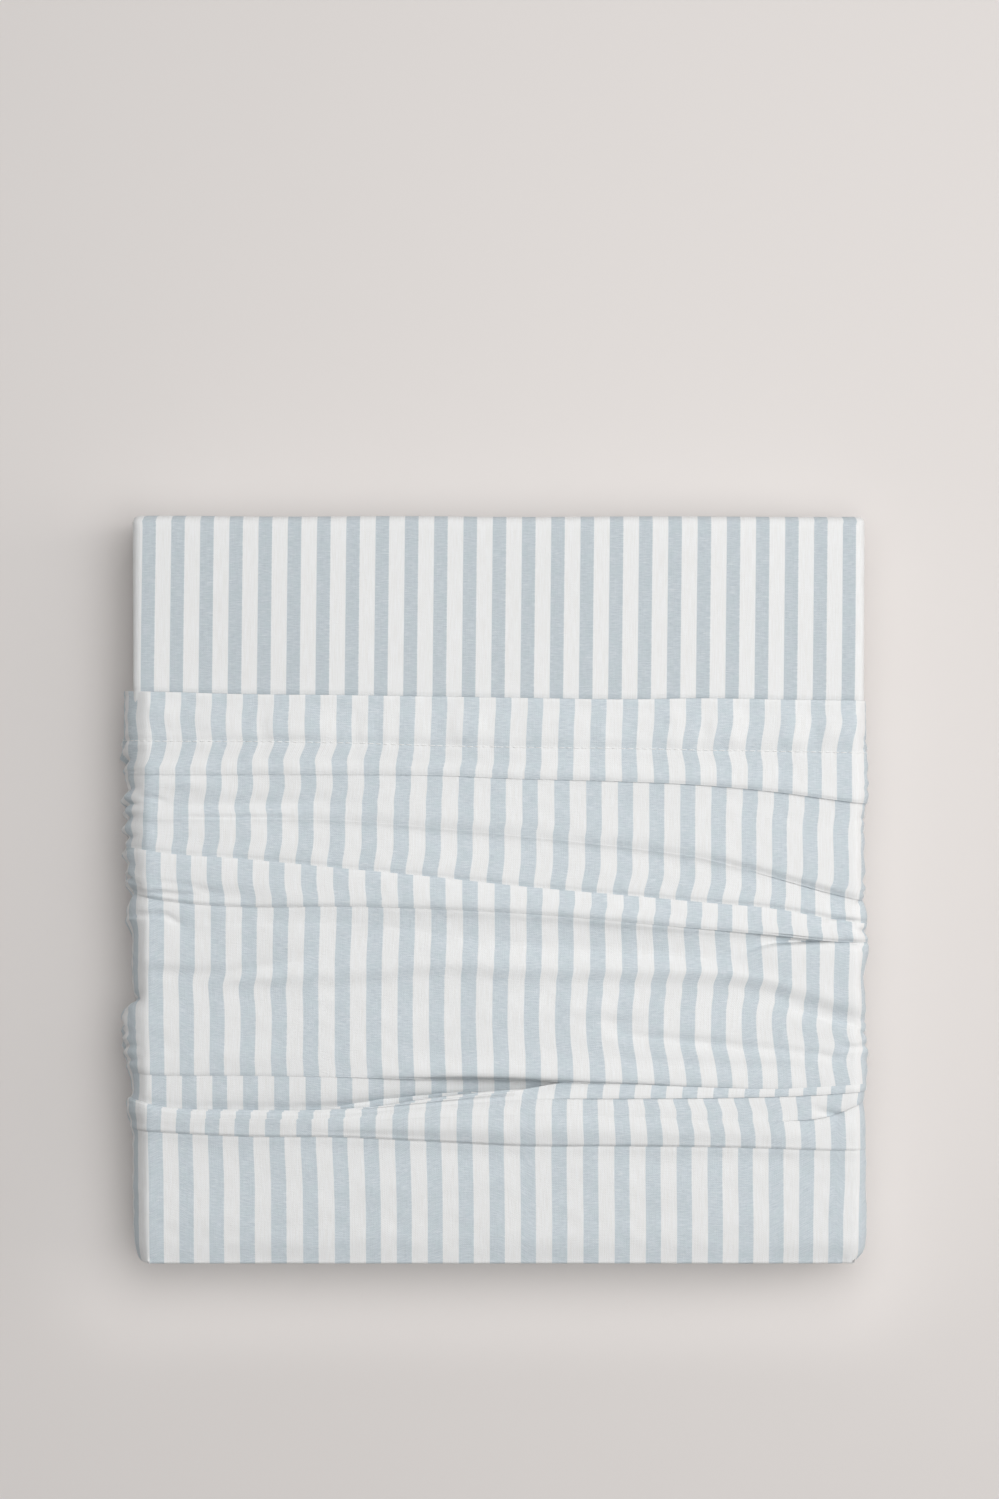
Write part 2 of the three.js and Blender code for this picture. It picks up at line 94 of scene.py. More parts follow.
SWAY_STRIPES = STATION_STRIPES[1:-1]
SWAYS = {
    "mouth": (0.6, 0.0, 0.1, 0.7, 1.7, 2.3, 2.7, 3.1, 2.1),
    "hem_middle": (0.1, -0.5, -0.1, 0.5, 1.3, 2.0, 2.7, 3.0, 2.6),
    "hem_lower": (1.1, -0.3, 0.0, 0.2, 1.0, 1.8, 1.2, 1.9, 0.9),
    "stitching": (1.3, 0.0, 0.1, 0.1, 0.9, 1.7, 0.8, 1.5, 0.3),
    "under_hem": (-0.1, -2.2, -2.0, -0.3, 0.9, 1.7, 2.1, 2.1, 0.3),
    "hem_tuck_above": (-1.9, -2.4, -1.8, -1.0, 0.3, 1.9, 2.3, 1.9, 0.3),
    "hem_tuck_below": (-2.1, -2.1, -1.6, -1.2, -0.6, 0.2, 0.2, 0.2, -0.4),
    "short_fold": (-2.5, -3.6, -2.6, -1.7, -0.6, 0.2, 0.0, -0.6, -1.2),
    "soft_step": (-2.9, -3.0, -2.8, -2.0, -1.2, -0.2, 0.0, -0.8, -2.5),
    "ridge_north_above": (-3.6, -4.2, -3.9, -3.3, -2.1, -1.9, -1.7, -1.5, -2.1),
    "ridge_north_below": (-1.3, -2.1, -1.3, -0.1, 1.3, 2.5, 2.9, 1.5, 0.4),
    "ridge_south_above": (-0.8, -0.9, -0.7, 0.1, 1.1, 1.7, 2.5, 2.1, 0.9),
    "ridge_south_below": (-0.4, -0.3, 0.1, 0.5, 1.1, 1.5, 1.6, 1.3, 0.0),
    "slot": (0.0, -0.5, -0.1, 0.5, 1.2, 1.9, 2.3, 1.5, -0.6),
    "hollow_north": (0.0, -0.5, -0.7, 0.1, 0.9, 1.9, 2.7, 2.1, -1.2),
    "hollow": (-0.4, -1.7, -0.7, -0.4, 0.3, 0.8, 1.0, 0.6, -1.6),
    "swell": (-0.2, -0.9, -0.7, -0.5, 0.0, -0.2, 0.0, -0.8, -1.8),
    "pucker_north": (0.2, -1.1, -0.7, -0.3, 0.3, 0.2, 0.0, 0.2, -0.6),
    "pucker": (0.4, -1.3, -0.7, -0.1, 0.7, 1.3, 1.7, 1.5, -2.1),
    "pocket_north": (0.4, -1.1, -0.3, 0.2, 0.7, 1.9, 2.7, 1.9, -0.4),
    "pocket_floor": (1.1, 0.1, 0.3, 0.5, 0.9, 1.3, 1.3, 0.8, -1.3),
    "pocket_south": (-0.6, -1.9, -2.2, -1.1, -0.1, 1.5, 1.6, 1.1, -2.1),
    "lap_above": (-0.8, -2.8, -2.6, -1.6, -0.8, 0.6, 0.8, 0.4, -2.5),
    "lap_below": (-0.8, -2.9, -2.7, -1.7, -1.0, -1.9, -3.4, -3.8, -3.7),
    "cuff_above": (-0.9, -3.4, -3.4, -2.1, -1.5, -1.5, -1.7, -2.5, -4.2),
    "cuff_below": (-0.9, -3.4, -3.4, -2.1, -1.5, -1.5, -1.7, -2.1, -2.9),
    "roll_low": (-1.1, -3.6, -3.4, -2.2, -1.6, -1.1, -0.5, -1.3, -2.3),
    "roll_south_above": (-1.1, -3.6, -3.4, -2.2, -1.4, -0.8, -0.3, -1.1, -2.1),
    "roll_south_below": (-0.6, -1.9, -1.8, -1.6, -1.6, -1.3, -1.5, -2.1, -2.5),
    "foot_panel": (-0.2, -1.3, -1.1, -1.2, -1.4, -1.3, -1.5, -2.1, -2.5),
    "foot": (0.0, -1.3, -0.7, -1.0, -1.2, -1.1, -1.3, -1.9, -3.3),
}

# How far the bag's sides reach from the middle, from the mouth to the foot
SIDE_REACH = [
    {"y": 84.0, "left": 158.8, "right": 155.2},
    {"y": 58.5, "left": 159.2, "right": 155.3},
    {"y": 56.5, "left": 157.2, "right": 155.4},
    {"y": 52.0, "left": 158.4, "right": 155.6},
    {"y": 49.0, "left": 156.9, "right": 155.6},
    {"y": 45.0, "left": 157.4, "right": 155.6},
    {"y": 40.5, "left": 159.0, "right": 155.6},
    {"y": 37.5, "left": 157.6, "right": 155.5},
    {"y": 34.0, "left": 158.6, "right": 154.3},
    {"y": 31.0, "left": 157.7, "right": 154.2},
    {"y": 28.5, "left": 158.6, "right": 154.3},
    {"y": 25.0, "left": 157.3, "right": 154.4},
    {"y": 21.5, "left": 157.6, "right": 154.2},
    {"y": 18.5, "left": 158.9, "right": 154.2},
    {"y": 15.5, "left": 157.4, "right": 154.0},
    {"y": 7.5, "left": 157.2, "right": 154.0},
    {"y": 5.5, "left": 158.0, "right": 154.2},
    {"y": 3.0, "left": 156.0, "right": 154.2},
    {"y": 1.0, "left": 155.4, "right": 154.2},
    {"y": -1.5, "left": 156.5, "right": 154.2},
    {"y": -5.0, "left": 157.7, "right": 155.4},
    {"y": -11.0, "left": 158.4, "right": 155.9},
    {"y": -14.0, "left": 156.0, "right": 155.4},
    {"y": -16.0, "left": 155.2, "right": 154.2},
    {"y": -19.0, "left": 155.2, "right": 156.3},
    {"y": -26.0, "left": 155.2, "right": 156.3},
    {"y": -30.0, "left": 155.4, "right": 154.6},
    {"y": -36.0, "left": 155.2, "right": 153.6},
    {"y": -44.5, "left": 154.2, "right": 154.2},
    {"y": -47.5, "left": 158.6, "right": 154.4},
    {"y": -53.0, "left": 159.2, "right": 154.7},
    {"y": -64.0, "left": 158.6, "right": 155.0},
    {"y": -67.0, "left": 158.4, "right": 155.8},
    {"y": -76.0, "left": 156.4, "right": 154.9},
    {"y": -82.5, "left": 155.0, "right": 154.4},
    {"y": -86.5, "left": 157.4, "right": 153.9},
    {"y": -92.5, "left": 157.2, "right": 154.6},
    {"y": -95.5, "left": 156.0, "right": 154.8},
    {"y": -104.0, "left": 155.2, "right": 154.8},
    {"y": -113.5, "left": 155.2, "right": 155.5},
    {"y": -140.0, "left": 155.0, "right": 155.5},
    {"y": -150.0, "left": 154.4, "right": 155.2},
    {"y": -160.0, "left": 153.8, "right": 155.0},
]

# Troughs (depth under 0) and ridges pressed into the top of the bag, each along its own points
CREASES = [
    {
        "name": "hem corner", "depth": -0.8, "width": 0.8,
        "path": [(-158.5, 57.8), (-152.0, 58.0), (-146.0, 58.8)],
    },
    {
        "name": "left dent", "depth": -1.1, "width": 1.1,
        "path": [(-151.0, 39.2), (-144.0, 38.2), (-140.0, 37.2)],
    },
    {
        "name": "left trough", "depth": -1.4, "width": 3.4,
        "path": [(-150.0, 34.5), (-138.0, 34.0), (-118.0, 35.5), (-92.0, 36.0), (-64.0, 36.5)],
    },
    {
        "name": "left shine", "depth": 1.1, "width": 3.0,
        "path": [(-148.0, 44.5), (-132.0, 44.8), (-116.0, 44.0)],
    },
    {
        "name": "short fold", "depth": -0.55, "width": 0.9,
        "path": [(-136.0, 30.6), (-112.0, 30.4), (-87.0, 30.6)],
    },
    {
        "name": "short swell", "depth": 0.5, "width": 3.2,
        "path": [(-136.0, 26.5), (-112.0, 26.4), (-87.0, 26.6)],
    },
    {
        "name": "left curl", "depth": -0.9, "width": 0.8,
        "path": [(-157.0, 7.0), (-154.0, 4.6), (-150.0, 2.6)],
    },
    {
        "name": "pleat top", "depth": -1.1, "width": 0.8,
        "path": [(-152.0, 2.3), (-140.0, 2.4), (-128.0, 0.8), (-116.0, -1.6)],
    },
    {
        "name": "pleat", "depth": 0.9, "width": 1.5,
        "path": [(-150.0, 0.8), (-140.0, 0.6), (-126.0, -0.6)],
    },
    {
        "name": "pleat foot", "depth": -1.2, "width": 0.8,
        "path": [(-152.0, -1.0), (-140.0, -1.2), (-126.0, -2.2)],
    },
    {
        "name": "left nick", "depth": -1.5, "width": 1.1,
        "path": [(-157.0, -11.6), (-150.0, -10.6), (-140.0, -10.6), (-134.0, -14.5)],
    },
    {
        "name": "left slope", "depth": -0.5, "width": 3.0,
        "path": [(-138.0, -14.0), (-128.0, -18.0), (-116.0, -19.5)],
    },
    {
        "name": "pleat slope", "depth": -1.7, "width": 4.2,
        "path": [(-152.0, -3.0), (-135.0, -2.2), (-117.0, -2.4), (-96.0, -3.6)],
    },
    {
        "name": "drift", "depth": -1.3, "width": 2.8,
        "path": [(-142.0, -34.5), (-117.0, -35.0), (-96.0, -32.5), (-79.0, -28.5), (-69.0, -23.5),
            (-58.0, -18.5), (-45.6, -15.5)],
    },
    {
        "name": "drift swell", "depth": 0.7, "width": 4.0,
        "path": [(-98.0, -23.0), (-86.0, -20.0), (-74.0, -15.0)],
    },
    {
        "name": "left bulge top", "depth": -1.2, "width": 1.1,
        "path": [(-158.5, -46.6), (-154.0, -46.8), (-149.5, -44.5)],
    },
    {
        "name": "left bulge fold", "depth": -0.7, "width": 0.8,
        "path": [(-158.0, -48.0), (-155.5, -53.0), (-155.0, -62.0), (-156.5, -70.0)],
    },
    {
        "name": "step shadow", "depth": -0.5, "width": 1.4,
        "path": [(90.0, 12.6), (115.0, 6.4), (138.0, -0.4), (146.0, -3.0)],
    },
    {
        "name": "wedge", "depth": -1.6, "width": 1.0,
        "path": [(134.0, -15.4), (140.0, -13.8), (146.0, -13.2), (152.0, -13.6)],
    },
    {
        "name": "knot upper", "depth": -1.0, "width": 0.9,
        "path": [(148.0, -8.6), (152.5, -4.6), (156.0, -4.0)],
    },
    {
        "name": "knot lower", "depth": -1.3, "width": 0.9,
        "path": [(147.0, -21.4), (151.0, -23.4), (153.0, -26.6), (155.5, -28.0)],
    },
    {
        "name": "knot middle", "depth": -0.9, "width": 0.8,
        "path": [(149.0, -16.6), (153.0, -17.4), (156.5, -17.0)],
    },
    {
        "name": "crinkle", "depth": -0.9, "width": 0.9,
        "path": [(143.0, -65.8), (148.0, -66.2), (154.0, -66.0)],
    },
    {
        "name": "crinkle foot", "depth": -0.7, "width": 0.9,
        "path": [(132.0, -68.6), (139.0, -70.6), (148.0, -70.2)],
    },
    {
        "name": "upper pucker", "depth": -1.1, "width": 1.6,
        "path": [(42.0, -59.5), (70.0, -62.5), (93.0, -65.0), (118.0, -67.5), (146.0, -70.4)],
    },
    {
        "name": "dimple", "depth": -1.1, "width": 3.4,
        "path": [(42.0, -55.0), (51.0, -56.5), (60.0, -57.0)],
    },
    {
        "name": "dimple swell", "depth": 0.6, "width": 3.4,
        "path": [(26.0, -50.0), (38.0, -51.0), (48.0, -49.5)],
    },
    {
        "name": "lower pucker", "depth": -0.55, "width": 1.8,
        "path": [(42.0, -70.8), (76.0, -72.8), (101.0, -74.5), (127.0, -74.5), (144.0, -72.4)],
    },
    {
        "name": "hem swell", "depth": 0.7, "width": 4.0,
        "path": [(-150.0, 76.0), (-143.0, 75.5), (-134.0, 75.0)],
    },
    {
        "name": "hem dip", "depth": -0.5, "width": 2.4,
        "path": [(-150.0, 67.0), (-142.0, 66.8), (-130.0, 66.4), (-112.0, 66.0)],
    },
    {
        "name": "cuff nick", "depth": -1.4, "width": 0.9,
        "path": [(131.0, -92.0), (139.0, -93.8), (146.0, -95.0), (151.0, -96.0)],
    },
    {
        "name": "right dart", "depth": -1.4, "width": 0.9,
        "path": [(144.5, -153.6), (145.2, -156.6), (145.6, -159.0)],
    },
]

# Where the pile gives way under an open fold of the bag
HOLLOWS = [
    {
        "name": "pocket", "depth": 8.6, "width": 6.5,
        "path": [(-66.0, -88.0), (-41.0, -86.5), (-16.0, -83.5), (9.0, -82.5), (26.0, -82.0)],
    },
    {
        "name": "slot", "depth": 2.2, "width": 3.4,
        "path": [(116.0, -20.0), (135.0, -21.6), (158.0, -22.6)],
    },
]

# The ends of the folded cover's passes: how far the folds at the bag's mouth stand back, where
# the folds at the foot are, and how far in the two free ends lie
NORTH_INSETS = (1.0, 0.5, 0.0)
SOUTH_FOLDS = (-150.9, -151.6, -151.2)
FIRST_END_INSET = 0.8
LAST_END_INSET = 0.2
FOLD_UNEVENNESS = 0.35

# Extra points near a ply's folded end and its other end, in half widths of the ply, and extra
# rows of the top pass where the bag's mouth presses it
CLOSE_TO_FOLD = np.array([0.004, 0.009, 0.014, 0.02, 0.028])
CLOSE_TO_START = np.array([0.006, 0.014, 0.024])
ROWS_AT_MOUTH = np.arange(88.0, 76.0, -0.6)
FREE_END_TURN = math.radians(85)
FREE_END_STEPS = 5
FOLD_STEPS = 6
MEASURED_COLUMN = 40

# What the bag and its own weight do to the pile
PILE = {
    "bag_start": 80.0,  # y where the bag begins to squeeze, and
    "bag_full": 56.0,  # y where it squeezes fully
    "squeeze": 5.6,  # at each side
    "free_round": 0.4,  # inset of the rounded edges outside the bag
    "bagged_round": 8.0,  # and inside it
    "round_height": 5.0,
    "corner_size": 3.0,  # of the upright corners at the mouth
    "corner_inset": 2.4,
    "turned_down": 2.4,  # of the side edges
    "pressed": 0.62,  # under the bag's mouth
}
LEAN = {"start": 60.0, "length": 77.0}  # from the far end, where the stripes lean

# The bag's foot: where its bottom rows start, the radius of its soft edge, and the shares of
# that turn and of the way to the seam at which it has rows
HEM_FOLD_STEPS = 5
MOUTH_BELOW = (79.4, 83.4)
FOOT_ROWS_START = 8.0
BULGE_SHARE = 0.42
END_RADIUS = 1.4
END_TURNS = (0.12, 0.25, 0.4, 0.55, 0.7, 0.85, 1.0)
END_SHARES = (0.08, 0.2, 0.35, 0.5, 0.65, 0.8, 0.92, 0.98, 1.0)
# How far past the flat top each end of the cloth's own lines reaches
EDGE_REACH = {"left": 7.0, "right": 4.0}

# The lamps: power as a share of its setting, size and place from the pack's middle in metres,
# what it points at, its colour, and the spread of its light
LAMPS = [
    {"name": "key", "power": "key_power", "share": 1.0, "size": (0.9, 0.9),
     "place": (1.35, 0.12, 0.95), "aim": (0, 0, 0), "colour": (1.0, 0.93, 0.89), "spread": 180},
    {"name": "overhead", "power": "overhead_power", "share": 1.0, "size": (1.0, 1.0),
     "place": (0.22, 0.24, 1.2), "aim": (0, 0, 0), "colour": (1.0, 1.0, 1.0), "spread": 180},
    {"name": "front_strip", "power": "floor_power", "share": 1.0, "size": (0.34, 0.02),
     "place": (0, -0.205, 0.085), "aim": (0, -0.163, 0), "colour": (1.0, 1.0, 1.0), "spread": 60},
    {"name": "left_strip", "power": "floor_power", "share": 0.35, "size": (0.34, 0.02),
     "place": (-0.215, -0.01, 0.09), "aim": (-0.163, -0.01, 0), "colour": (1.0, 1.0, 1.0),
     "spread": 60},
]
FLOOR_HALF = 4.0
CAMERA_ASIDE = 0.0004
SENSOR_WIDTH = 36.0

# One stitch: sides and beads of the thread, its thickness, and how far it stands proud
STITCH = {"sides": 6, "beads": 5, "thick": 0.17, "lift": 0.04, "bow": 0.17, "look_ahead": 0.4}


def smooth_curve(places, values, at):
    """A smooth curve through values at uneven places, level past its ends."""
    places = np.asarray(places, float)
    values = np.asarray(values, float)
    slopes = np.gradient(values, places)
    at = np.clip(at, places[0], places[-1])
    i = np.clip(np.searchsorted(places, at) - 1, 0, len(places) - 2)
    span = places[i + 1] - places[i]
    t = (at - places[i]) / span
    return (
        values[i] * (2 * t**3 - 3 * t**2 + 1)
        + slopes[i] * span * (t**3 - 2 * t**2 + t)
        + values[i + 1] * (3 * t**2 - 2 * t**3)
        + slopes[i + 1] * span * (t**3 - t**2)
    )


def ease(start, end, at):
    """0 before start, 1 after end, and a soft S between them."""
    t = np.clip((np.asarray(at, float) - start) / (end - start), 0, 1)
    return t * t * (3 - 2 * t)


def mix(a, b, t):
    return a + (b - a) * t


def soft_noise(x, y, size_x, size_y, seed, waves=9):
    """Uneven cloth: a few seeded waves of about that size, roughly between -1 and 1."""
    random = np.random.default_rng(seed)
    total = np.zeros(np.broadcast(x, y).shape)
    for _ in range(waves):
        turn = random.uniform(0, 2 * math.pi)
        length = random.uniform(0.7, 1.5)
        total += np.sin(
            2 * math.pi * (np.cos(turn) * x / size_x + np.sin(turn) * y / size_y) / length
            + random.uniform(0, 2 * math.pi)
        )
    return total / math.sqrt(waves)


def distance_to(path, x, y):
    """Distance from each point to a path, and how far along the path the nearest place is."""
    nearest = np.full(x.shape, np.inf)
    along = np.zeros(x.shape)
    lengths = [math.dist(a, b) for a, b in zip(path, path[1:])]
    walked = 0.0
    for (ax, ay), (bx, by), length in zip(path, path[1:], lengths):
        t = ((x - ax) * (bx - ax) + (y - ay) * (by - ay)) / length**2
        t = np.clip(t, 0, 1)
        away = np.hypot(x - mix(ax, bx, t), y - mix(ay, by, t))
        closer = away < nearest
        nearest = np.where(closer, away, nearest)
        along = np.where(closer, (walked + t * length) / sum(lengths), along)
        walked += length
    return nearest, along


def crease_depth(x, y):
    """All the listed troughs and ridges, added up, at each point."""
    total = np.zeros(x.shape)
    for crease in CREASES:
        away, along = distance_to(crease["path"], x, y)
        fade = np.sqrt(np.clip(np.sin(math.pi * np.clip(along, 0.02, 0.98)), 0, 1))
        total += crease["depth"] * fade * np.exp(-((away / crease["width"]) ** 2))
    return total


def hollow_depth(x, y):
    """How far the pile gives way at each point."""
    total = np.zeros(x.shape)
    for hollow in HOLLOWS:
        away, along = distance_to(hollow["path"], x, y)
        fade = ease(0.0, 0.25, along) * (1 - 0.6 * ease(0.75, 1.0, along))
        total += hollow["depth"] * fade * np.exp(-((away / hollow["width"]) ** 2))
    return total


def through(points, steps):
    """Points on a smooth curve through rows of points, with so many steps after each row.
    Knots are spaced by the square root of the chord, so that tight turns don't overshoot."""
    points = np.asarray(points, float)
    ahead = np.concatenate([points, 2 * points[-1:] - points[-2:-1]])
    ahead = np.concatenate([2 * points[:1] - points[1:2], ahead])
    chords = np.sqrt(np.linalg.norm(np.diff(ahead[..., :2], axis=0), axis=-1)) + 1e-4
    rows = []
    for i, count in enumerate(steps):
        p0, p1, p2, p3 = (ahead[i + k] for k in range(4))
        t1 = chords[i]
        t2 = t1 + chords[i + 1]
        t3 = t2 + chords[i + 2]
        for step in range(count):
            t = mix(t1, t2, step / count)
            weight = lambda a, b: ((t - a) / (b - a))[..., None]
            a1 = mix(p0, p1, weight(0 * t1, t1))
            a2 = mix(p1, p2, weight(t1, t2))
            a3 = mix(p2, p3, weight(t2, t3))
            b1 = mix(a1, a2, weight(0 * t1, t2))
            b2 = mix(a2, a3, weight(t1, t3))
            rows.append(mix(b1, b2, weight(t1, t2)))
    rows.append(points[-1])
    return np.array(rows)


class Lie:
    """How the bag's cloth lies from its mouth to its foot, at every place across it. A row has
    y, height over the folded cover, and sway, each an array across the bag."""

    def __init__(self, x, pitch):
        self.x = x
        self.stripe = 1 + (x - FIRST_STRIPE) / pitch
        self.rows = []
        self.steps = []
        self.marks = {}

    def line(self, name):
        return smooth_curve(STATION_STRIPES, FOLD_LINES[name], self.stripe)

    def sway(self, name):
        return smooth_curve(SWAY_STRIPES, SWAYS[name], self.stripe)

    def fold_line(self):
        """The soft fold that starts at the short fold on the left and runs down to the right."""
        return self.line("soft_step") + 2.2 * (1 - ease(-110, 10, self.x)) - 1.1 * ease(80, 120, self.x)

    def rise(self, left, middle, right):
        """A height that changes from left to right."""
        return smooth_curve([-150, 0, 150], [left, middle, right], self.x)

    def row(self, y, height, sway, steps):
        self.rows.append(np.stack([y + 0 * self.x, height + 0 * self.x, sway + 0 * self.x], axis=-1))
        self.steps.append(steps)

    def level(self, *pairs):
        """A height given at places across."""
        return smooth_curve([place for place, _ in pairs], [height for _, height in pairs], self.x)

    def tuck(self, edge, depth, levels, plain, sways, strength=1.0, over=False, step=2):
        """Three layers: the cloth folds under itself and out again. over is for a tuck whose
        upper edge shows, so that the side nearer the foot lies on top. Where strength is 0 the
        cloth runs plain."""
        low, middle, high = levels
        out = 1 if over else -1
        nose = (high - middle) / 2
        bend = (middle - low) / 2
        turn = [(0.0, 1.0), (0.72, 0.7), (1.0, 0.0), (0.72, -0.7), (0.0, -1.0)]
        shown = [(out * (c - 1) * nose, (high + middle) / 2 + s * nose) for c, s in turn]
        hidden = [
            (-out * (depth + (c - 1) * bend), (middle + low) / 2 + s * bend) for c, s in turn[::2]
        ]
        shown[0] = (-out * 1.4 * nose, high)
        hidden[-1] = (-out * 0.55 * depth, low)
        path = shown + hidden
        shares = np.linspace(0, 1, len(path))
        if over:
            path = path[::-1]
        for i, (offset, height) in enumerate(path):
            bunched = -0.03 * (i - len(path) / 2)
            share = ease(0.3, 0.7, shares[i])
            sway = mix(sways[0], sways[1], share)
            y = edge + mix(bunched, offset, strength)
            self.row(y, mix(plain, height, strength), sway, step if i + 1 < len(path) else 3)

    def even_tuck(self, edge, depth, low, ply, above, below, over=False):
        """A tuck with its three layers evenly spaced."""
        levels = (low, low + ply, low + 2 * ply)
        sways = (self.sway(above), self.sway(below))
        self.tuck(edge, depth, levels, low + ply, sways, over=over)

    def between(self, a, b, t):
        """A line so far from one line to another."""
        return mix(self.line(a), self.line(b), t)

    def sample(self):
        lie = through(np.stack(self.rows), self.steps[:-1])
        return lie[..., 0], lie[..., 1], lie[..., 2]


def lay_hem(lie, hem, puff):
    """The doubled hem, its stitching, and the cloth gathered under it. Each part gives the next
    the height where its own low side ends."""
    line, sway, rise = lie.line, lie.sway, lie.rise
    mouth = line("mouth")
    lie.row(mouth - 13, 0.05, sway("hem_middle"), 2)
    lie.row(mouth - 5, 0.0, sway("mouth"), 2)
    lie.row(mouth - 1.0, 0.1, sway("mouth"), 2)
    lie.row(mouth - 0.2, 0.35 * hem, sway("mouth"), 2)
    lie.row(mouth, 0.75 * hem, sway("mouth"), 2)
    lie.row(mouth - 0.7, 1.1 * hem, sway("mouth"), 4)
    lie.row(mouth - 4.5, hem + 0.25 + 0.15 * puff, sway("mouth"), 6)
    lie.row(line("hem_middle"), hem + 0.8 + 0.3 * puff, sway("hem_middle"), 7)
    lie.row(line("hem_lower"), hem + 1.15 + 0.2 * puff, sway("hem_lower"), 4)
    lie.row(line("stitching") + 0.8, hem + 0.6, sway("stitching"), 2)
    lie.marks["stitching"] = sum(lie.steps)
    lie.row(line("stitching"), hem + 0.48, sway("stitching"), 2)
    lie.row(line("stitching") - 1.0, hem + 0.62, sway("stitching"), 4)
    lie.row(line("under_hem"), rise(1.7, 1.7, 2.0), sway("under_hem"), 6)
    crest = rise(2.3, 2.2, 3.1)
    ply = rise(0.25, 0.3, 0.75)
    low = rise(1.3, 1.1, 1.0)
    edge = line("hem_tuck") - 0.3
    lie.row(edge + 3.0, crest, sway("hem_tuck_above"), 4)
    lie.row(edge + 1.2, mix(low + 2 * ply, crest, 0.7), sway("hem_tuck_above"), 2)
    lie.even_tuck(edge, 5, low, ply, "hem_tuck_above", "hem_tuck_below")
    lie.row(edge - 0.8, low, sway("hem_tuck_below"), 3)
    return low


def lay_soft_fold(lie, low):
    """A soft fold that turns into a small tuck at the right."""
    line, sway, rise, between = lie.line, lie.sway, lie.rise, lie.between
    x = lie.x
    lie.row(between("hem_tuck", "short_fold", 0.35), low, sway("hem_tuck_below"), 6)
    lie.row(between("hem_tuck", "short_fold", 0.75), low + rise(0.4, 0.1, 0.4), sway("short_fold"), 6)
    fold = lie.fold_line()
    crest = rise(2.0, 1.7, 2.6)
    low = rise(0.9, 0.3, 0.3)
    tight = ease(95, 125, x)
    wide = ease(-60, 20, x)
    lie.row(fold + mix(4.0, 5.5, wide), crest, sway("short_fold"), 5)
    lie.row(fold + mix(1.8, 2.4, wide), crest - 0.25, sway("soft_step"), 3)
    lie.tuck(
        fold, 1.2, (low, low + 0.4, low + 0.9), mix(low, crest, 0.45),
        (sway("soft_step"), sway("soft_step")), strength=tight,
    )
    lie.row(fold - 1.9, low, sway("soft_step"), 4)
    lie.row(mix(fold, line("ridge_north"), 0.5), low + 0.6, sway("soft_step"), 5)
    return low


def lay_ridge(lie, low):
    """A flat ridge lying over the cloth on both sides, with an open slot under it at the right."""
    line, sway, rise, between = lie.line, lie.sway, lie.rise, lie.between
    x = lie.x
    crest = low + rise(0.6, 0.9, 1.1)
    low = low + rise(0.2, 0.4, 0.4)
    edge = line("ridge_north")
    lie.row(edge + 2.2, crest, sway("ridge_north_above"), 4)
    lie.row(edge + 0.5, low, sway("ridge_north_above"), 2)
    half = 0.3 * (edge - line("ridge_south"))
    ply = 0.28
    lie.even_tuck(edge, half, low, ply, "ridge_north_above", "ridge_north_below", over=True)
    crest = lie.level(
        (-150, 3.1), (-112, 3.1), (-60, 3.0), (0, 3.5), (90, 3.5), (118, 2.9), (150, 2.7),
    )
    lie.row(edge - 1.6, mix(low + 2 * ply, crest, 0.3), sway("ridge_north_below"), 3)
    lie.row(
        between("ridge_north", "ridge_south", 0.5), mix(low + 2 * ply, crest, 0.75),
        sway("ridge_north_below"), 4,
    )
    lie.row(between("ridge_north", "ridge_south", 0.8), crest, sway("ridge_south_above"), 3)
    low = lie.level(
        (-150, 1.0), (-60, 1.8), (0, 2.3), (90, 1.8), (112, 0.4), (121, -0.7), (132, -0.5),
        (142, 0.4), (150, 0.6),
    )
    ply = lie.level(
        (-150, 0.2), (0, 0.22), (80, 0.4), (112, 1.2), (121, 1.7), (132, 1.5), (142, 0.7),
        (150, 0.5),
    )
    edge = line("ridge_south") - 0.5
    lie.row(edge + 1.1, mix(low + 2 * ply, crest, 0.7), sway("ridge_south_above"), 2)
    lie.even_tuck(edge, half, low, ply, "ridge_south_above", "ridge_south_below")
    lie.row(edge - 0.8, low - 0.05, sway("ridge_south_below"), 3)
    slot_open = ease(95, 118, x)
    deep = lie.level(
        (-150, 1.1), (-70, 0.9), (0, 0.2), (90, -0.1), (112, -0.4), (121, -1.6),
        (132, -1.4), (142, 0.3), (150, 0.7),
    )
    lie.row(between("ridge_south", "slot", 0.5), mix(low, deep, 0.55), sway("ridge_south_below"), 4)
    far = 5.0 * ease(-60, 0, x) * (1 - slot_open)
    lie.row(line("slot") + 0.9 - far, deep, sway("slot"), 3)
    lie.row(line("slot") - far, mix(deep + 0.05, 1.2, slot_open), sway("slot"), 2)
    lie.row(line("slot") - 1.0 - far, mix(deep + 0.15, 2.5, slot_open), sway("slot"), 4)


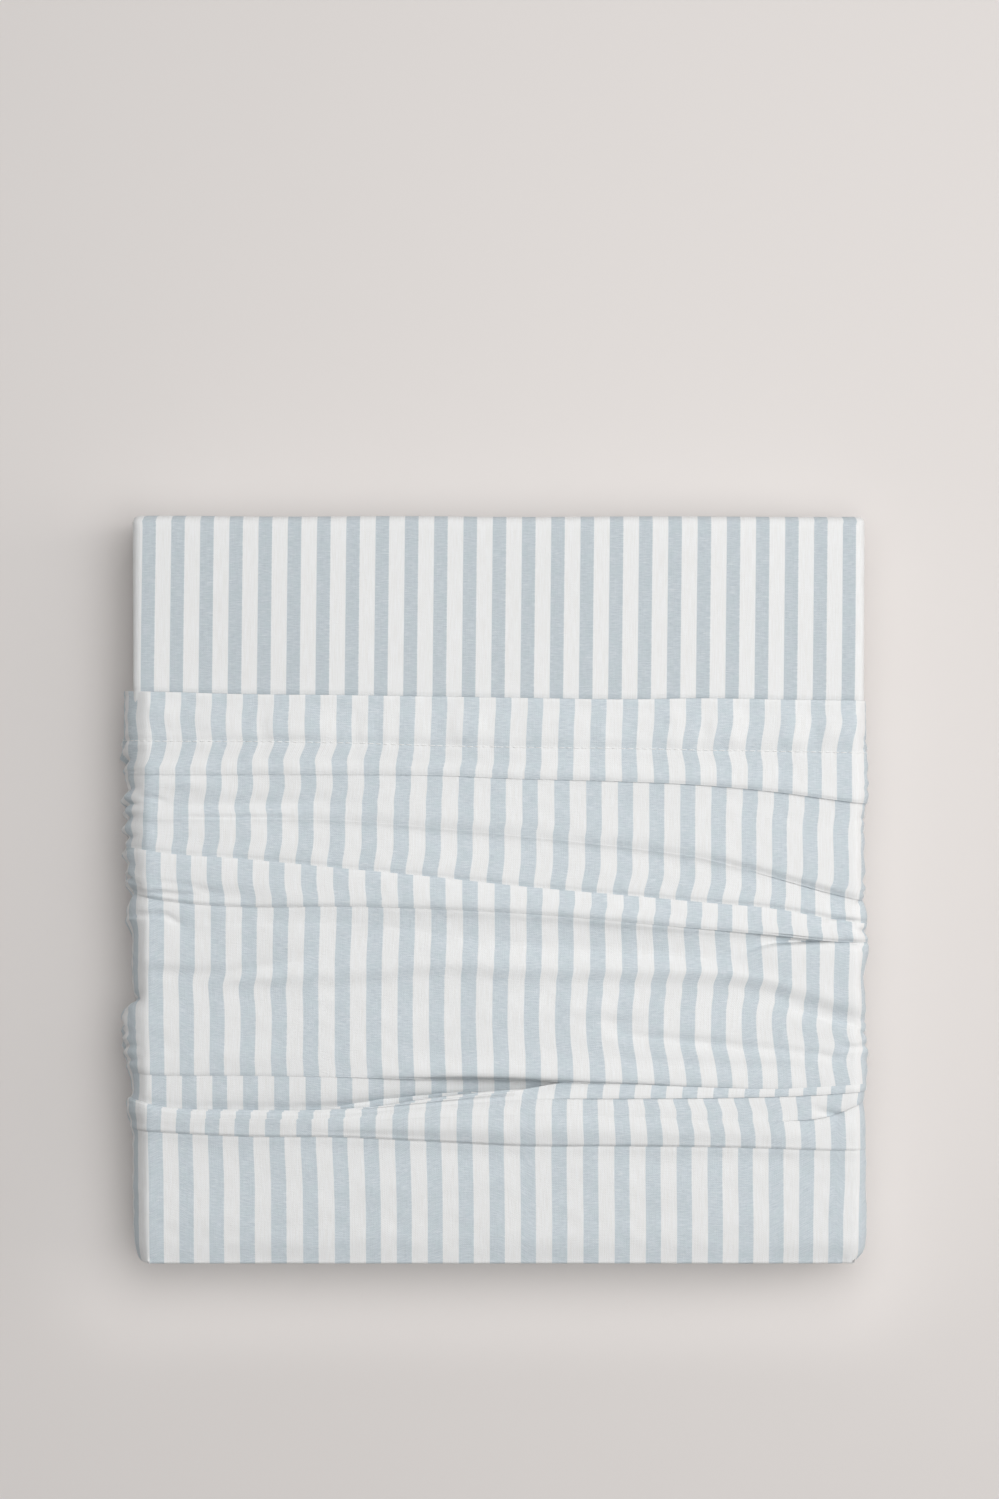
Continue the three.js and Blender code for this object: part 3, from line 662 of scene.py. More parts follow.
def lay_puff(lie):
    """The wide puff and its hollow."""
    line, sway, rise = lie.line, lie.sway, lie.rise
    hollow = line("hollow") - lie.level(
        (-150, 1.5), (0, 1.0), (60, 1.5), (110, 2.2), (127, 3.2), (141, 3.6), (150, 2.0),
    )
    lie.row(mix(line("slot"), hollow, 0.55), rise(1.7, 1.9, 2.8), sway("hollow_north"), 5)
    lie.row(hollow + 6.0, rise(2.0, 2.4, 3.1), sway("hollow_north"), 5)
    lie.row(hollow + 0.8, rise(1.1, 1.3, 1.2), sway("hollow"), 3)
    lie.row(hollow - 2.4, rise(1.0, 1.2, 1.1), sway("hollow"), 4)
    lie.row(
        mix(hollow, line("swell"), 0.6), rise(1.4, 1.7, 1.7),
        mix(sway("hollow"), sway("swell"), 0.8), 6,
    )
    lie.row(line("swell") - 1.0, rise(1.8, 2.2, 2.3), sway("swell"), 6)
    lie.row(line("pucker_north"), rise(2.0, 2.6, 2.5), sway("pucker_north"), 5)
    lie.row(line("pucker"), rise(2.3, 3.1, 2.8), sway("pucker"), 4)


def lay_pocket_and_roll(lie):
    """The pocket: a lip, a floor that sinks and narrows to the right, and the roll beyond it."""
    line, sway, rise = lie.line, lie.sway, lie.rise
    x = lie.x
    crest = lie.level((-150, 2.5), (-67, 2.8), (-16, 4.2), (34, 4.4), (85, 3.5), (150, 2.8))
    floor = lie.level(
        (-150, 1.5), (-92, 1.8), (-52, 2.0), (-34, 0.8), (-16, -4.2), (10, -4.6),
        (30, -0.9), (60, 0.6), (100, 1.5), (150, 1.7),
    )
    ply = lie.level(
        (-150, 0.22), (-67, 0.25), (-16, 0.8), (34, 1.1), (60, 0.6), (85, 0.35),
        (150, 0.25),
    )
    edge = line("pocket_north") - 0.5
    lie.row(edge + 2.6, crest, sway("pocket_north"), 3)
    lie.row(edge + 1.0, mix(floor + 2 * ply, crest, 0.7), sway("pocket_north"), 2)
    lie.even_tuck(edge, 6, floor, ply, "pocket_north", "pocket_floor")
    shut = ease(0, 40, x)
    sink = lie.level(
        (-150, 0.5), (-110, 0.1), (-67, -1.2), (-41, -5.6), (-16, -6.6), (10, -4.8),
        (34, -0.3), (60, 0.6), (150, 1.5),
    )
    far_edge = line("pocket_south") + 1.4 * shut
    shelf = np.maximum(far_edge + 1.9, mix(far_edge, edge, 0.3))
    sloping = ease(-80, -40, x)
    lie.row(
        mix(shelf + sloping, edge + 4.7, shut), mix(floor, sink, 0.35 * sloping * (1 - shut)),
        sway("pocket_floor"), 3,
    )
    lie.row(
        mix(far_edge + 0.7, edge + 4.4, shut), mix(sink + 0.1, floor, shut),
        sway("pocket_floor"), 2,
    )
    top = lie.level((-150, 2.0), (-67, 2.8), (-16, 3.9), (34, 3.9), (85, 3.0), (150, 2.4))
    lie.tuck(
        far_edge, mix(3.5, 2.5, shut),
        (sink, mix(top - 1.0, floor + 0.3, shut), mix(top - 0.2, floor + 0.7, shut)), top,
        (sway("pocket_floor"), sway("pocket_south")), over=True,
    )
    swell = lie.level((-150, 2.8), (-67, 3.6), (0, 4.6), (60, 4.3), (150, 3.4))
    back = 0.9 * ease(-90, -30, x) * (1 - ease(70, 110, x))
    lap = ease(14, 44, x)
    lie.row(line("lap") + 1.6, mix(swell - 0.5 - back, 3.2, lap), sway("lap_above"), 3)
    lie.tuck(
        line("lap"), 1.7, (2.2, 2.6, 3.1), swell - back,
        (sway("lap_above"), sway("lap_below")), strength=lap,
    )
    lie.row(line("lap") - 1.1, mix(swell - back, 2.6, lap), sway("lap_below"), 3)
    cuff = ease(116, 134, x)
    lie.row(
        mix(line("lap"), line("cuff"), 0.62), mix(mix(swell - 0.6 * back, 3.1, lap), 2.8, cuff),
        sway("cuff_above"), 3,
    )
    lie.tuck(
        line("cuff"), 4, (1.3, 1.9, 2.5), mix(swell - 0.1, 3.3, lap),
        (sway("cuff_above"), sway("cuff_below")), strength=cuff,
    )
    edge = line("roll_south") - 0.7
    crest = lie.level((-150, 2.5), (-67, 3.1), (0, 3.9), (60, 3.6), (116, 2.8), (150, 2.4))
    under_cuff = mix(swell - 0.5 + back, 3.3 + back, lap)
    lie.row(mix(line("cuff"), edge, 0.45), mix(under_cuff, 2.4, cuff), sway("roll_low"), 4)
    ply = rise(0.3, 0.26, 0.22)
    low = rise(0.9, 1.8, 1.3)
    lie.row(edge + 2.0, crest - 0.25, sway("roll_south_above"), 3)
    lie.row(edge + 0.7, mix(low + 2 * ply, crest, 0.5), sway("roll_south_above"), 2)
    lie.even_tuck(edge, 4.5, low, ply, "roll_south_above", "roll_south_below")
    lie.row(edge - 1.0, low, sway("roll_south_below"), 3)
    return edge, low


def lay_foot(lie, edge, low):
    """The smooth foot, sagging towards its end."""
    sway = lie.sway
    lie.row(edge - 4.5, low - 0.5, sway("roll_south_below"), 5)
    lie.row(-122.0, low - 0.2, sway("foot_panel"), 8)
    lie.row(-138.0, 1.5, sway("foot"), 6)
    lie.row(-147.0, 1.2, sway("foot"), 3)
    lie.row(-151.0, 0.5, sway("foot"), 2)
    lie.row(BAG_FOOT + 1.6, -0.8, sway("foot"), 1)


def lay_bag(x, bag):
    """The rows of the bag's cloth, from inside its hem to its foot. Between its lines each panel
    climbs a little towards the foot, and drops at the next line."""
    lie = Lie(x, bag.stripe_pitch)
    low = lay_hem(lie, bag.hem_height, soft_noise(x, 0 * x, 26, 10, 3))
    low = lay_soft_fold(lie, low)
    lay_ridge(lie, low)
    lay_puff(lie)
    edge, low = lay_pocket_and_roll(lie)
    lay_foot(lie, edge, low)
    return lie


def ring_columns(bag):
    """The columns of points round the bag, from the left heel over the top and back below.
    Each has a place across the top, a turn over the shoulder, a drop down the side, a turn at
    the heel and a share of the way across the bottom."""
    columns = []

    def add(side, x=0.0, turn=0.0, drop=0.0, heel=0.0, below=0.0):
        columns.append((side, x, turn, drop, heel, below))

    quarter = math.pi / 2
    for i in range(bag.heel_columns, 0, -1):
        add(-1, turn=quarter, drop=1, heel=quarter * i / bag.heel_columns)
    for i in range(bag.side_columns, 0, -1):
        add(-1, turn=quarter, drop=i / bag.side_columns)
    for i in range(bag.shoulder_columns, 0, -1):
        add(-1, turn=quarter * i / bag.shoulder_columns)
    for x in np.linspace(-bag.flat_left, bag.flat_right, bag.top_columns):
        add(math.copysign(1, x), x=x)
    for i in range(1, bag.shoulder_columns + 1):
        add(1, turn=quarter * i / bag.shoulder_columns)
    for i in range(1, bag.side_columns + 1):
        add(1, turn=quarter, drop=i / bag.side_columns)
    for i in range(1, bag.heel_columns + 1):
        add(1, turn=quarter, drop=1, heel=quarter * i / bag.heel_columns)
    for i in range(1, bag.bottom_columns):
        add(1, turn=quarter, drop=1, heel=quarter, below=i / bag.bottom_columns)
    return tuple(np.array(values) for values in zip(*columns))


def reach_at(y, side):
    rows = SIDE_REACH[::-1]
    places = [row["y"] for row in rows]
    left = np.interp(y, places, [row["left"] for row in rows])
    right = np.interp(y, places, [row["right"] for row in rows])
    return np.where(side < 0, left, right)


def grid_mesh(name, points, cloth, sheet_map, material, around=True):
    """A mesh of four-sided faces over rows and columns of points in millimetres, with the
    cloth's own coordinates and a flat map of the whole piece. Rows close on themselves."""
    rows, columns = points.shape[:2]
    mesh = bpy.data.meshes.new(name)
    across = columns if around else columns - 1
    i, j = np.meshgrid(np.arange(rows - 1), np.arange(across), indexing="ij")
    k = (j + 1) % columns
    here, after = i * columns, (i + 1) * columns
    corners = np.stack([here + j, after + j, after + k, here + k], -1).reshape(-1, 4)
    mesh.vertices.add(rows * columns)
    mesh.vertices.foreach_set("co", (points.reshape(-1, 3) * MM).ravel())
    mesh.loops.add(corners.size)
    mesh.loops.foreach_set("vertex_index", corners.ravel())
    mesh.polygons.add(len(corners))
    mesh.polygons.foreach_set("loop_start", np.arange(0, corners.size, 4))
    mesh.polygons.foreach_set("use_smooth", np.ones(len(corners), bool))
    for layer_name, values in (("Cloth", cloth), ("OFBake", sheet_map)):
        layer = mesh.uv_layers.new(name=layer_name)
        uv = np.stack([values[i, j], values[i + 1, j], values[i + 1, j + 1], values[i, j + 1]], 2)
        layer.data.foreach_set("uv", uv.reshape(-1, 2).ravel())
    mesh.update(calc_edges=True)
    mesh.validate()
    mesh.materials.append(material)
    piece = bpy.data.objects.new(name, mesh)
    bpy.context.scene.collection.objects.link(piece)
    return piece


def flat_map(rows, columns, lengths, widths):
    """A map of the whole piece with no overlaps, spaced as the cloth is."""
    u = np.concatenate([[0], np.cumsum(np.maximum(widths, 0.05))])
    v = np.concatenate([[0], np.cumsum(np.maximum(lengths, 0.05))])
    grid = np.stack(np.meshgrid(v / v[-1], u / u[-1], indexing="ij")[::-1], -1)
    return 0.004 + 0.992 * grid[:rows, : columns + 1]


def spread_down_sides(bag, lie, y, lengths, drop, heel, below):
    """On the sides the tucks open out, down to evenly spread cloth along the bottom."""
    hem_rows = sum(lie.steps[:HEM_FOLD_STEPS])
    share = (lengths - lengths[hem_rows]) / (lengths[-1] - lengths[hem_rows])
    spread = mix(y[hem_rows], y[-1], share)
    spread[:hem_rows] = y[:hem_rows]
    mean_share = share.mean(axis=1, keepdims=True)
    mouth = smooth_curve([0, 1], MOUTH_BELOW, below)
    bottom_y = mix(mouth, BAG_FOOT + FOOT_ROWS_START, mean_share)
    bottom_y[:hem_rows] = bottom_y[hem_rows] - (y[hem_rows] - y[:hem_rows]).clip(0.02)
    y = mix(y, spread, ease(0.15, 0.95, drop))
    return mix(y, bottom_y, ease(0, 1, np.maximum(below * 8, heel / math.pi * 2)))


def side_gathers(bag, y, side, turn, drop):
    """How far the gathered cloth stands out from the bag's sides, and how far it leans."""
    slant = bag.side_slant * (drop + 0.3 * np.sin(turn))
    upper = ease(-8, 2, y) * (1 - ease(60, 66, y))
    lower = ease(-80, -72, y) * (1 - ease(-56, -48, y))
    wild = np.where(side < 0, 1.0, 0.55) * (upper + lower + 0.25) * ease(-150, -138, y)
    warped = y + 1.6 * soft_noise(y, 9 * drop + 5 * side, 18, 9, 11) + slant
    gathers = np.abs(np.sin(math.pi * warped / bag.gather_pitch)) - 0.6
    fine = soft_noise(y - slant, 9 * drop + 40 * side, 5.0, 9, 12)
    turned = np.sin(math.pi / 2 * np.clip(turn / math.pi * 2, 0, 1))
    on_side = turned**2 * (1 - ease(0.7, 1.0, drop))
    return on_side * wild * (bag.gather_depth * gathers + 0.45 * fine), slant


def plain_ring(bag, y, ring, start):
    """The bag without its tucks: at each row a small shoulder, then a side that bulges to its
    full reach, a heel and the bottom. The way that the cloth faces comes with it."""
    side, top_x, turn, drop, heel, below = ring
    standing, slant = side_gathers(bag, y, side, turn, drop)
    reach = reach_at(y + slant, side)
    deep = np.where(side < 0, bag.left_drop, bag.right_drop)
    crease = bag.shoulder_crease
    across = reach - start
    shoulder = bag.shoulder_share * across
    x = np.where(turn == 0, top_x, side * (start + shoulder * np.sin(turn) ** crease))
    bulge = np.sin(math.pi / 2 * np.clip(drop / BULGE_SHARE, 0, 1))
    x = x + side * (drop > 0) * (across - shoulder) * bulge + side * standing
    base = COVER_TOP + bag.clearance
    level = np.cos(turn).clip(0)
    z = base - deep * (1 - level**crease) + 0 * y
    facing = np.arctan2(deep * np.sin(turn) ** (2 - crease), shoulder * level ** (2 - crease))
    normal_x, normal_z = side * np.sin(facing), np.cos(facing)

    half, heel_size, lowest = bag.foot_half_width, bag.heel_radius, bag.rest_height
    inward = (reach - half) * ease(0.45, 1.0, drop)
    x = x - side * np.where(drop > 0, inward, 0)
    z = np.where(drop > 0, mix(base - deep, lowest + heel_size, drop), z)
    bend = np.where(heel > 0, 1.0, 0.0)
    x = x - side * bend * heel_size * (1 - np.cos(heel))
    z = z - bend * heel_size * np.sin(heel)
    x = np.where(below > 0, mix(half - heel_size, heel_size - half, below), x)
    z = np.where(below > 0, lowest, z)
    normal_x = np.where(heel > 0, side * np.cos(heel), normal_x)
    normal_z = np.where(heel > 0, -np.sin(heel), normal_z)
    return x, z, np.where(below > 0, 0, normal_x), np.where(below > 0, -1, normal_z)


def closed_end(bag, last, facing_x, facing_z, seam_x):
    """The rows that close the foot: the ring turns in round a soft edge, then runs flat to its
    seam."""
    x, y, z = last
    seam_z = (COVER_TOP + bag.clearance + bag.rest_height) / 2
    radius = END_RADIUS
    rows = []
    for t in END_TURNS:
        angle = t * math.pi / 2
        inset = radius * (1 - math.cos(angle))
        end_y = mix(y, BAG_FOOT + radius - radius * math.sin(angle), ease(0, 0.4, t))
        rows.append((x - facing_x * inset, end_y, z - facing_z * inset))
    edge_x, edge_y, edge_z = rows[-1]
    for t in END_SHARES:
        pillow = 0.25 * math.sin(math.pi * t**0.8) - 0.5 * t**8
        rows.append((mix(edge_x, seam_x, t), edge_y - pillow, mix(edge_z, seam_z, t)))
    return rows


def bag_points(bag):
    """The points of the bag's cloth and the cloth's own coordinates, in millimetres."""
    ring = ring_columns(bag)
    side, top_x, turn, drop, heel, below = ring
    on_top = turn == 0
    start = np.where(side < 0, bag.flat_left, bag.flat_right)
    past = np.where(side < 0, EDGE_REACH["left"], EDGE_REACH["right"])
    lie = lay_bag(np.where(on_top, top_x, side * (start + past * np.sin(turn))), bag)
    y, height, sway = lie.sample()
    columns = y.shape[1]
    lengths = np.hypot(np.diff(y, axis=0), np.diff(height, axis=0))
    lengths = np.concatenate([np.zeros((1, columns)), np.cumsum(lengths, axis=0)])
    y = spread_down_sides(bag, lie, y, lengths, drop, heel, below)
    ring_x, ring_z, normal_x, normal_z = plain_ring(bag, y, ring, start)

    # Heights over the cover, smaller where the cloth turns down the side and none at the foot
    crumple = 0.16 * soft_noise(ring_x, y, 34, 22, 5) + 0.07 * soft_noise(ring_x, y, 12, 9, 6)
    hem_pucker = soft_noise(ring_x, y, 9, 60, 8) * np.exp(-(((y - 66) / 9) ** 2))
    relief = crease_depth(ring_x, y) + crumple + 0.16 * hem_pucker
    up = 1 - ease(0.0, 0.7, drop)
    raised = height * (1 - 0.72 * normal_x**2) * up + relief * up
    raised = np.where(drop >= 1, 0, raised)
    x = ring_x + normal_x * raised
    z = ring_z + normal_z * raised

    ends = closed_end(
        bag, (x[-1], y[-1], z[-1]), normal_x[-1], normal_z[-1],
        np.clip(ring_x[-1], -bag.seam_half, bag.seam_half),
    )
    x, y, z = (
        np.concatenate([whole, [row[k] for row in ends]])
        for k, whole in enumerate((x, y, z))
    )
    sway = np.concatenate([sway, np.repeat(sway[-1:], len(ends), axis=0)])
    corner = bag.corner_radius
    into = np.clip((BAG_FOOT + corner - y) / corner, 0, 1)
    corner_inset = corner * (1 - np.sqrt(1 - into**2)) * np.where(side > 0, 1.0, 0.3)
    x = x - side * corner_inset * np.abs(np.sin(turn)) ** 1.5 * (below == 0)

    cloth, sheet_map = cloth_coordinates(x, y, z, sway, on_top, top_x)
    return np.stack([x + MIDDLE_X, y, z], -1), cloth, sheet_map, lie.marks["stitching"]


def cloth_coordinates(x, y, z, sway, on_top, top_x):
    """The cloth's own coordinates, across the stripes and along them, and a flat map."""
    rows, columns = x.shape
    hops = np.hypot(np.diff(x, axis=1), np.diff(z, axis=1))
    last_hop = np.hypot(x[:, :1] - x[:, -1:], z[:, :1] - z[:, -1:])
    hops = np.hstack([hops, last_hop])
    walked = np.concatenate([np.zeros((rows, 1)), np.cumsum(hops, axis=1)], axis=1)
    first, last = np.flatnonzero(on_top)[[0, -1]]
    across = np.hstack([x, x[:, :1]]) - np.hstack([sway, sway[:, :1]])
    left_part, right_part = (
        across[:, end : end + 1] + walked - walked[:, end : end + 1] for end in (first, last)
    )
    index = np.arange(columns + 1)
    across = np.where(index < first, left_part, across)
    across = np.where(index > last, right_part, across)
    steps = np.sqrt(np.diff(x, axis=0) ** 2 + np.diff(y, axis=0) ** 2 + np.diff(z, axis=0) ** 2)
    along = np.concatenate([np.zeros((1, columns)), np.cumsum(steps, axis=0)])
    along = np.hstack([along, along[:, :1]])
    middle = int(np.argmin(np.where(on_top, np.abs(top_x), np.inf)))
    sheet_map = flat_map(rows, columns, np.diff(along[:, middle]), hops.mean(axis=0))
    return np.stack([across, along], -1), sheet_map


def strip_section(cover):
    """One strip of the folded cover, cut across: plies folded back and forth over X. Each
    point has x, a height through the strip and how far along the cloth it is."""
    pitch = cover.strip_thickness / cover.plies
    half = pitch * cover.ply_share / 2
    wide, tight = pitch / 2 + half, pitch / 2 - half
    fold_x = cover.half_width - pitch
    level = lambda ply: (ply - (cover.plies - 1) / 2) * pitch
    run = 2 * fold_x
    arc = math.pi * pitch / 2
    under, over = [], []
    runs = np.linspace(-1, 1, cover.run_points)
    runs = np.unique(np.concatenate([runs, 1 - CLOSE_TO_FOLD, CLOSE_TO_START - 1]))

    def bend(ply, way, radius, angle):
        """A point on the fold between a ply and the next."""
        x = way * (fold_x + radius * math.sin(angle))
        return x, level(ply) + pitch / 2 - radius * math.cos(angle)

    # The free end of the first ply curls over the fold under it
    for angle in np.linspace(FREE_END_TURN, 0, FREE_END_STEPS + 1)[:-1]:
        under.append((*bend(0, -1, wide, angle), -angle * pitch / 2))
        over.append((*bend(0, -1, tight, angle), -angle * pitch / 2))
    for ply in range(cover.plies):
        way = 1 if ply % 2 == 0 else -1
        walked = ply * (run + arc)
        for t in runs:
            x, along = way * t * fold_x, walked + (t + 1) * fold_x
            under.append((x, level(ply) - half, along))
            over.append((x, level(ply) + half, along))
        if ply + 1 < cover.plies:
            below, above = (wide, tight) if way > 0 else (tight, wide)
            for step in range(1, FOLD_STEPS + 1):
                angle = math.pi * step / (FOLD_STEPS + 1)
                along = walked + run + arc * step / (FOLD_STEPS + 1)
                under.append((*bend(ply, way, below, angle), along))
                over.append((*bend(ply, way, above, angle), along))
    return np.array(under + over[::-1])


def strip_rows(cover, section):
    """The strip's section carried back and forth along Y, before anything presses it."""
    strip = cover.strip_thickness
    bottom = cover_low[2]
    pitch = (COVER_TOP - bottom - strip) / (cover.strips - 1)
    radius = pitch / 2
    reach_in = radius + strip / 2
    squareness = 2 / cover.fold_squareness
    x, c, _ = section.T
    uneven = FOLD_UNEVENNESS * soft_noise(x, 0 * x, 120, 10, 21)
    last = cover.strips - 1
    rows = []
    for number in range(cover.strips):
        way = 1 if number % 2 == 0 else -1
        middle = bottom + strip / 2 + number * pitch
        north = COVER_NORTH - NORTH_INSETS[min(number // 2, 2)] - reach_in
        south = SOUTH_FOLDS[min(max(0, number - 1) // 2, 2)] + reach_in
        start, end = (south, north) if way > 0 else (north, south)
        if number == 0:
            start = cover_low[1] + FIRST_END_INSET
        if number == last:
            end = cover_low[1] + LAST_END_INSET
        places = mix(start, end, np.linspace(0, 1, cover.length_rows))
        if number == last:
            places = np.sort(np.concatenate([places, ROWS_AT_MOUTH]))[::-1]
        rows.extend((x, y + 0 * x, middle + way * c) for y in places)
        if number == last:
            break
        reach = radius - way * c
        for t in np.linspace(0, 1, cover.turn_rows + 2)[1:-1]:
            angle = -math.pi / 2 + math.pi * t
            swing = abs(math.cos(angle)) ** squareness
            lift = math.copysign(abs(math.sin(angle)) ** squareness, math.sin(angle))
            rows.append((x, end + way * reach * swing + uneven * swing, middle + radius + reach * lift))
    return (np.array(values) for values in zip(*rows))


def cover_points(cover):
    """The folded cover's points, rounded at the edges and pressed by the bag, with the cloth's
    own coordinates."""
    section = strip_section(cover)
    x, c, s = section.T
    ply = cover.strip_thickness / cover.plies
    bottom = cover_low[2]
    px, py, pz = strip_rows(cover, section)

    # Seen from the end, the pile's edges are rounded and uneven, and the bag makes it narrower
    from_top = COVER_TOP - pz
    from_bottom = pz - bottom
    from_face = np.minimum(from_top, from_bottom)
    in_bag = 1 - ease(PILE["bag_full"], PILE["bag_start"], py)
    near_face = np.clip(1 - from_face / PILE["round_height"], 0, 1)
    round_edge = mix(PILE["free_round"], PILE["bagged_round"], in_bag) * near_face**2.2
    layer = np.round(from_bottom / ply)
    uneven = 0.5 * np.sin(layer * 2.4 + np.sign(px) * 1.1)
    uneven = uneven + 0.35 * soft_noise(py, layer * 3.0, 60, 7, 22)
    narrow = PILE["squeeze"] * in_bag + round_edge + mix(0.3, 0.8, in_bag) * (0.6 + uneven)
    size = PILE["corner_size"]
    corner = np.clip((py - (COVER_NORTH - size)) / size, 0, 1)
    narrow = narrow + PILE["corner_inset"] * (1 - np.sqrt(1 - corner**2))
    x_out = px - np.sign(px) * narrow * (np.abs(px) / cover.half_width) ** 8

    # From the side, the cloth sags a little, turns down at its edges and gives under the bag
    sag = soft_noise(px, py, 90, 70, 23) * 0.22 + soft_noise(px, py, 30, 26, 24) * 0.08
    z_out = pz + (sag - 0.15) * ease(2.0, 16.0, from_bottom) * (1 - in_bag)
    turned = (np.abs(px) - (cover.half_width - cover.edge_round)) / cover.edge_round
    turned_down = PILE["turned_down"] * np.clip(turned, 0, 1) ** 2.4
    z_out = z_out - turned_down * ease(8.0, 38.0, from_bottom) * (1 - 0.5 * in_bag)
    stripe = 1 + (px - FIRST_STRIPE) / BAG_STRIPE_PITCH
    mouth = smooth_curve(STATION_STRIPES, FOLD_LINES["mouth"], stripe)
    pressed = PILE["pressed"] * (1 - ease(-0.3, 2.2, py - mouth))
    z_out = z_out - pressed * ease(-20, 0, -from_top)
    z_out = z_out - hollow_depth(px, py) * ease(-36, 0, -from_top)
    points = np.stack([x_out + MIDDLE_X, py, z_out], -1)

    # Across the stripes the cloth's own coordinate is the way along the section, and along
    # them the way walked by one column
    walked = np.abs(np.diff(points[:, MEASURED_COLUMN, 1:], axis=0)).sum(-1)
    along = np.concatenate([[0], np.cumsum(walked)])
    closed = np.append(s, s[0])
    upper = np.where(np.append(c, c[0]) < 0, 1, 0)
    lean = cover.lean * (COVER_NORTH - LEAN["start"] - py) / LEAN["length"]
    lean = np.hstack([lean, lean[:, :1]]) * upper
    across = closed[None, :] - cover.half_width + ply
    cloth = np.stack([across + lean, along[:, None] + 0 * lean], -1)
    widths = np.hypot(np.diff(np.append(x, x[0])), np.diff(np.append(c, c[0])))
    return points, cloth, flat_map(len(points), len(x), walked, widths)


class Link:
    """A value in a shader. Sums, differences, products and quotients of links and numbers add
    Math nodes."""

    def __init__(self, finish, socket):
        self.finish = finish
        self.socket = socket

    def math(self, operation, *values):
        return self.finish.node("ShaderNodeMath", {"operation": operation}, dict(enumerate(values)))

    def __add__(self, other):
        return self.math("ADD", self, other)

    __radd__ = __add__

    def __sub__(self, other):
        return self.math("SUBTRACT", self, other)

    def __rsub__(self, other):
        return self.math("SUBTRACT", other, self)

    def __mul__(self, other):
        return self.math("MULTIPLY", self, other)

    __rmul__ = __mul__

    def __truediv__(self, other):
        return self.math("DIVIDE", self, other)


class Finish:
    """The node tree of a material or a world, built by calls. node makes any node: its settings
    are set first, then each input takes a number, a colour or a link."""

    def __init__(self, owner):
        self.owner = owner
        owner.use_nodes = True
        self.tree = owner.node_tree
        self.tree.nodes.clear()

    def node(self, kind, settings=None, inputs=None, output=0):
        made = self.tree.nodes.new(kind)
        for key, value in (settings or {}).items():
            setattr(made, key, value)
        for key, value in (inputs or {}).items():
            if isinstance(value, Link):
                self.tree.links.new(value.socket, made.inputs[key])
            else:
                made.inputs[key].default_value = value
        return Link(self, made.outputs[output]) if made.outputs else None

    def blend(self, factor, a, b):
        """A colour between two colours."""
        return self.node(
            "ShaderNodeMix", {"data_type": "RGBA", "clamp_factor": True},
            {0: factor, 6: a, 7: b}, output=2,
        )

    def soft(self, value, low, high, to_low=0.0, to_high=1.0):
        """A soft step as value goes from low to high."""
        return self.node(
            "ShaderNodeMapRange", {"interpolation_type": "SMOOTHSTEP"},
            {"Value": value, "From Min": low, "From Max": high, "To Min": to_low, "To Max": to_high},
        )

    def noise(self, place, scale, detail=2.0, rough=0.5):
        return self.node(
            "ShaderNodeTexNoise", None,
            {"Vector": place, "Scale": scale, "Detail": detail, "Roughness": rough},
        )

    def surface(self, inputs):
        shader = self.node("ShaderNodeBsdfPrincipled", None, inputs)
        self.node("ShaderNodeOutputMaterial", None, {"Surface": shader})
        return self.owner


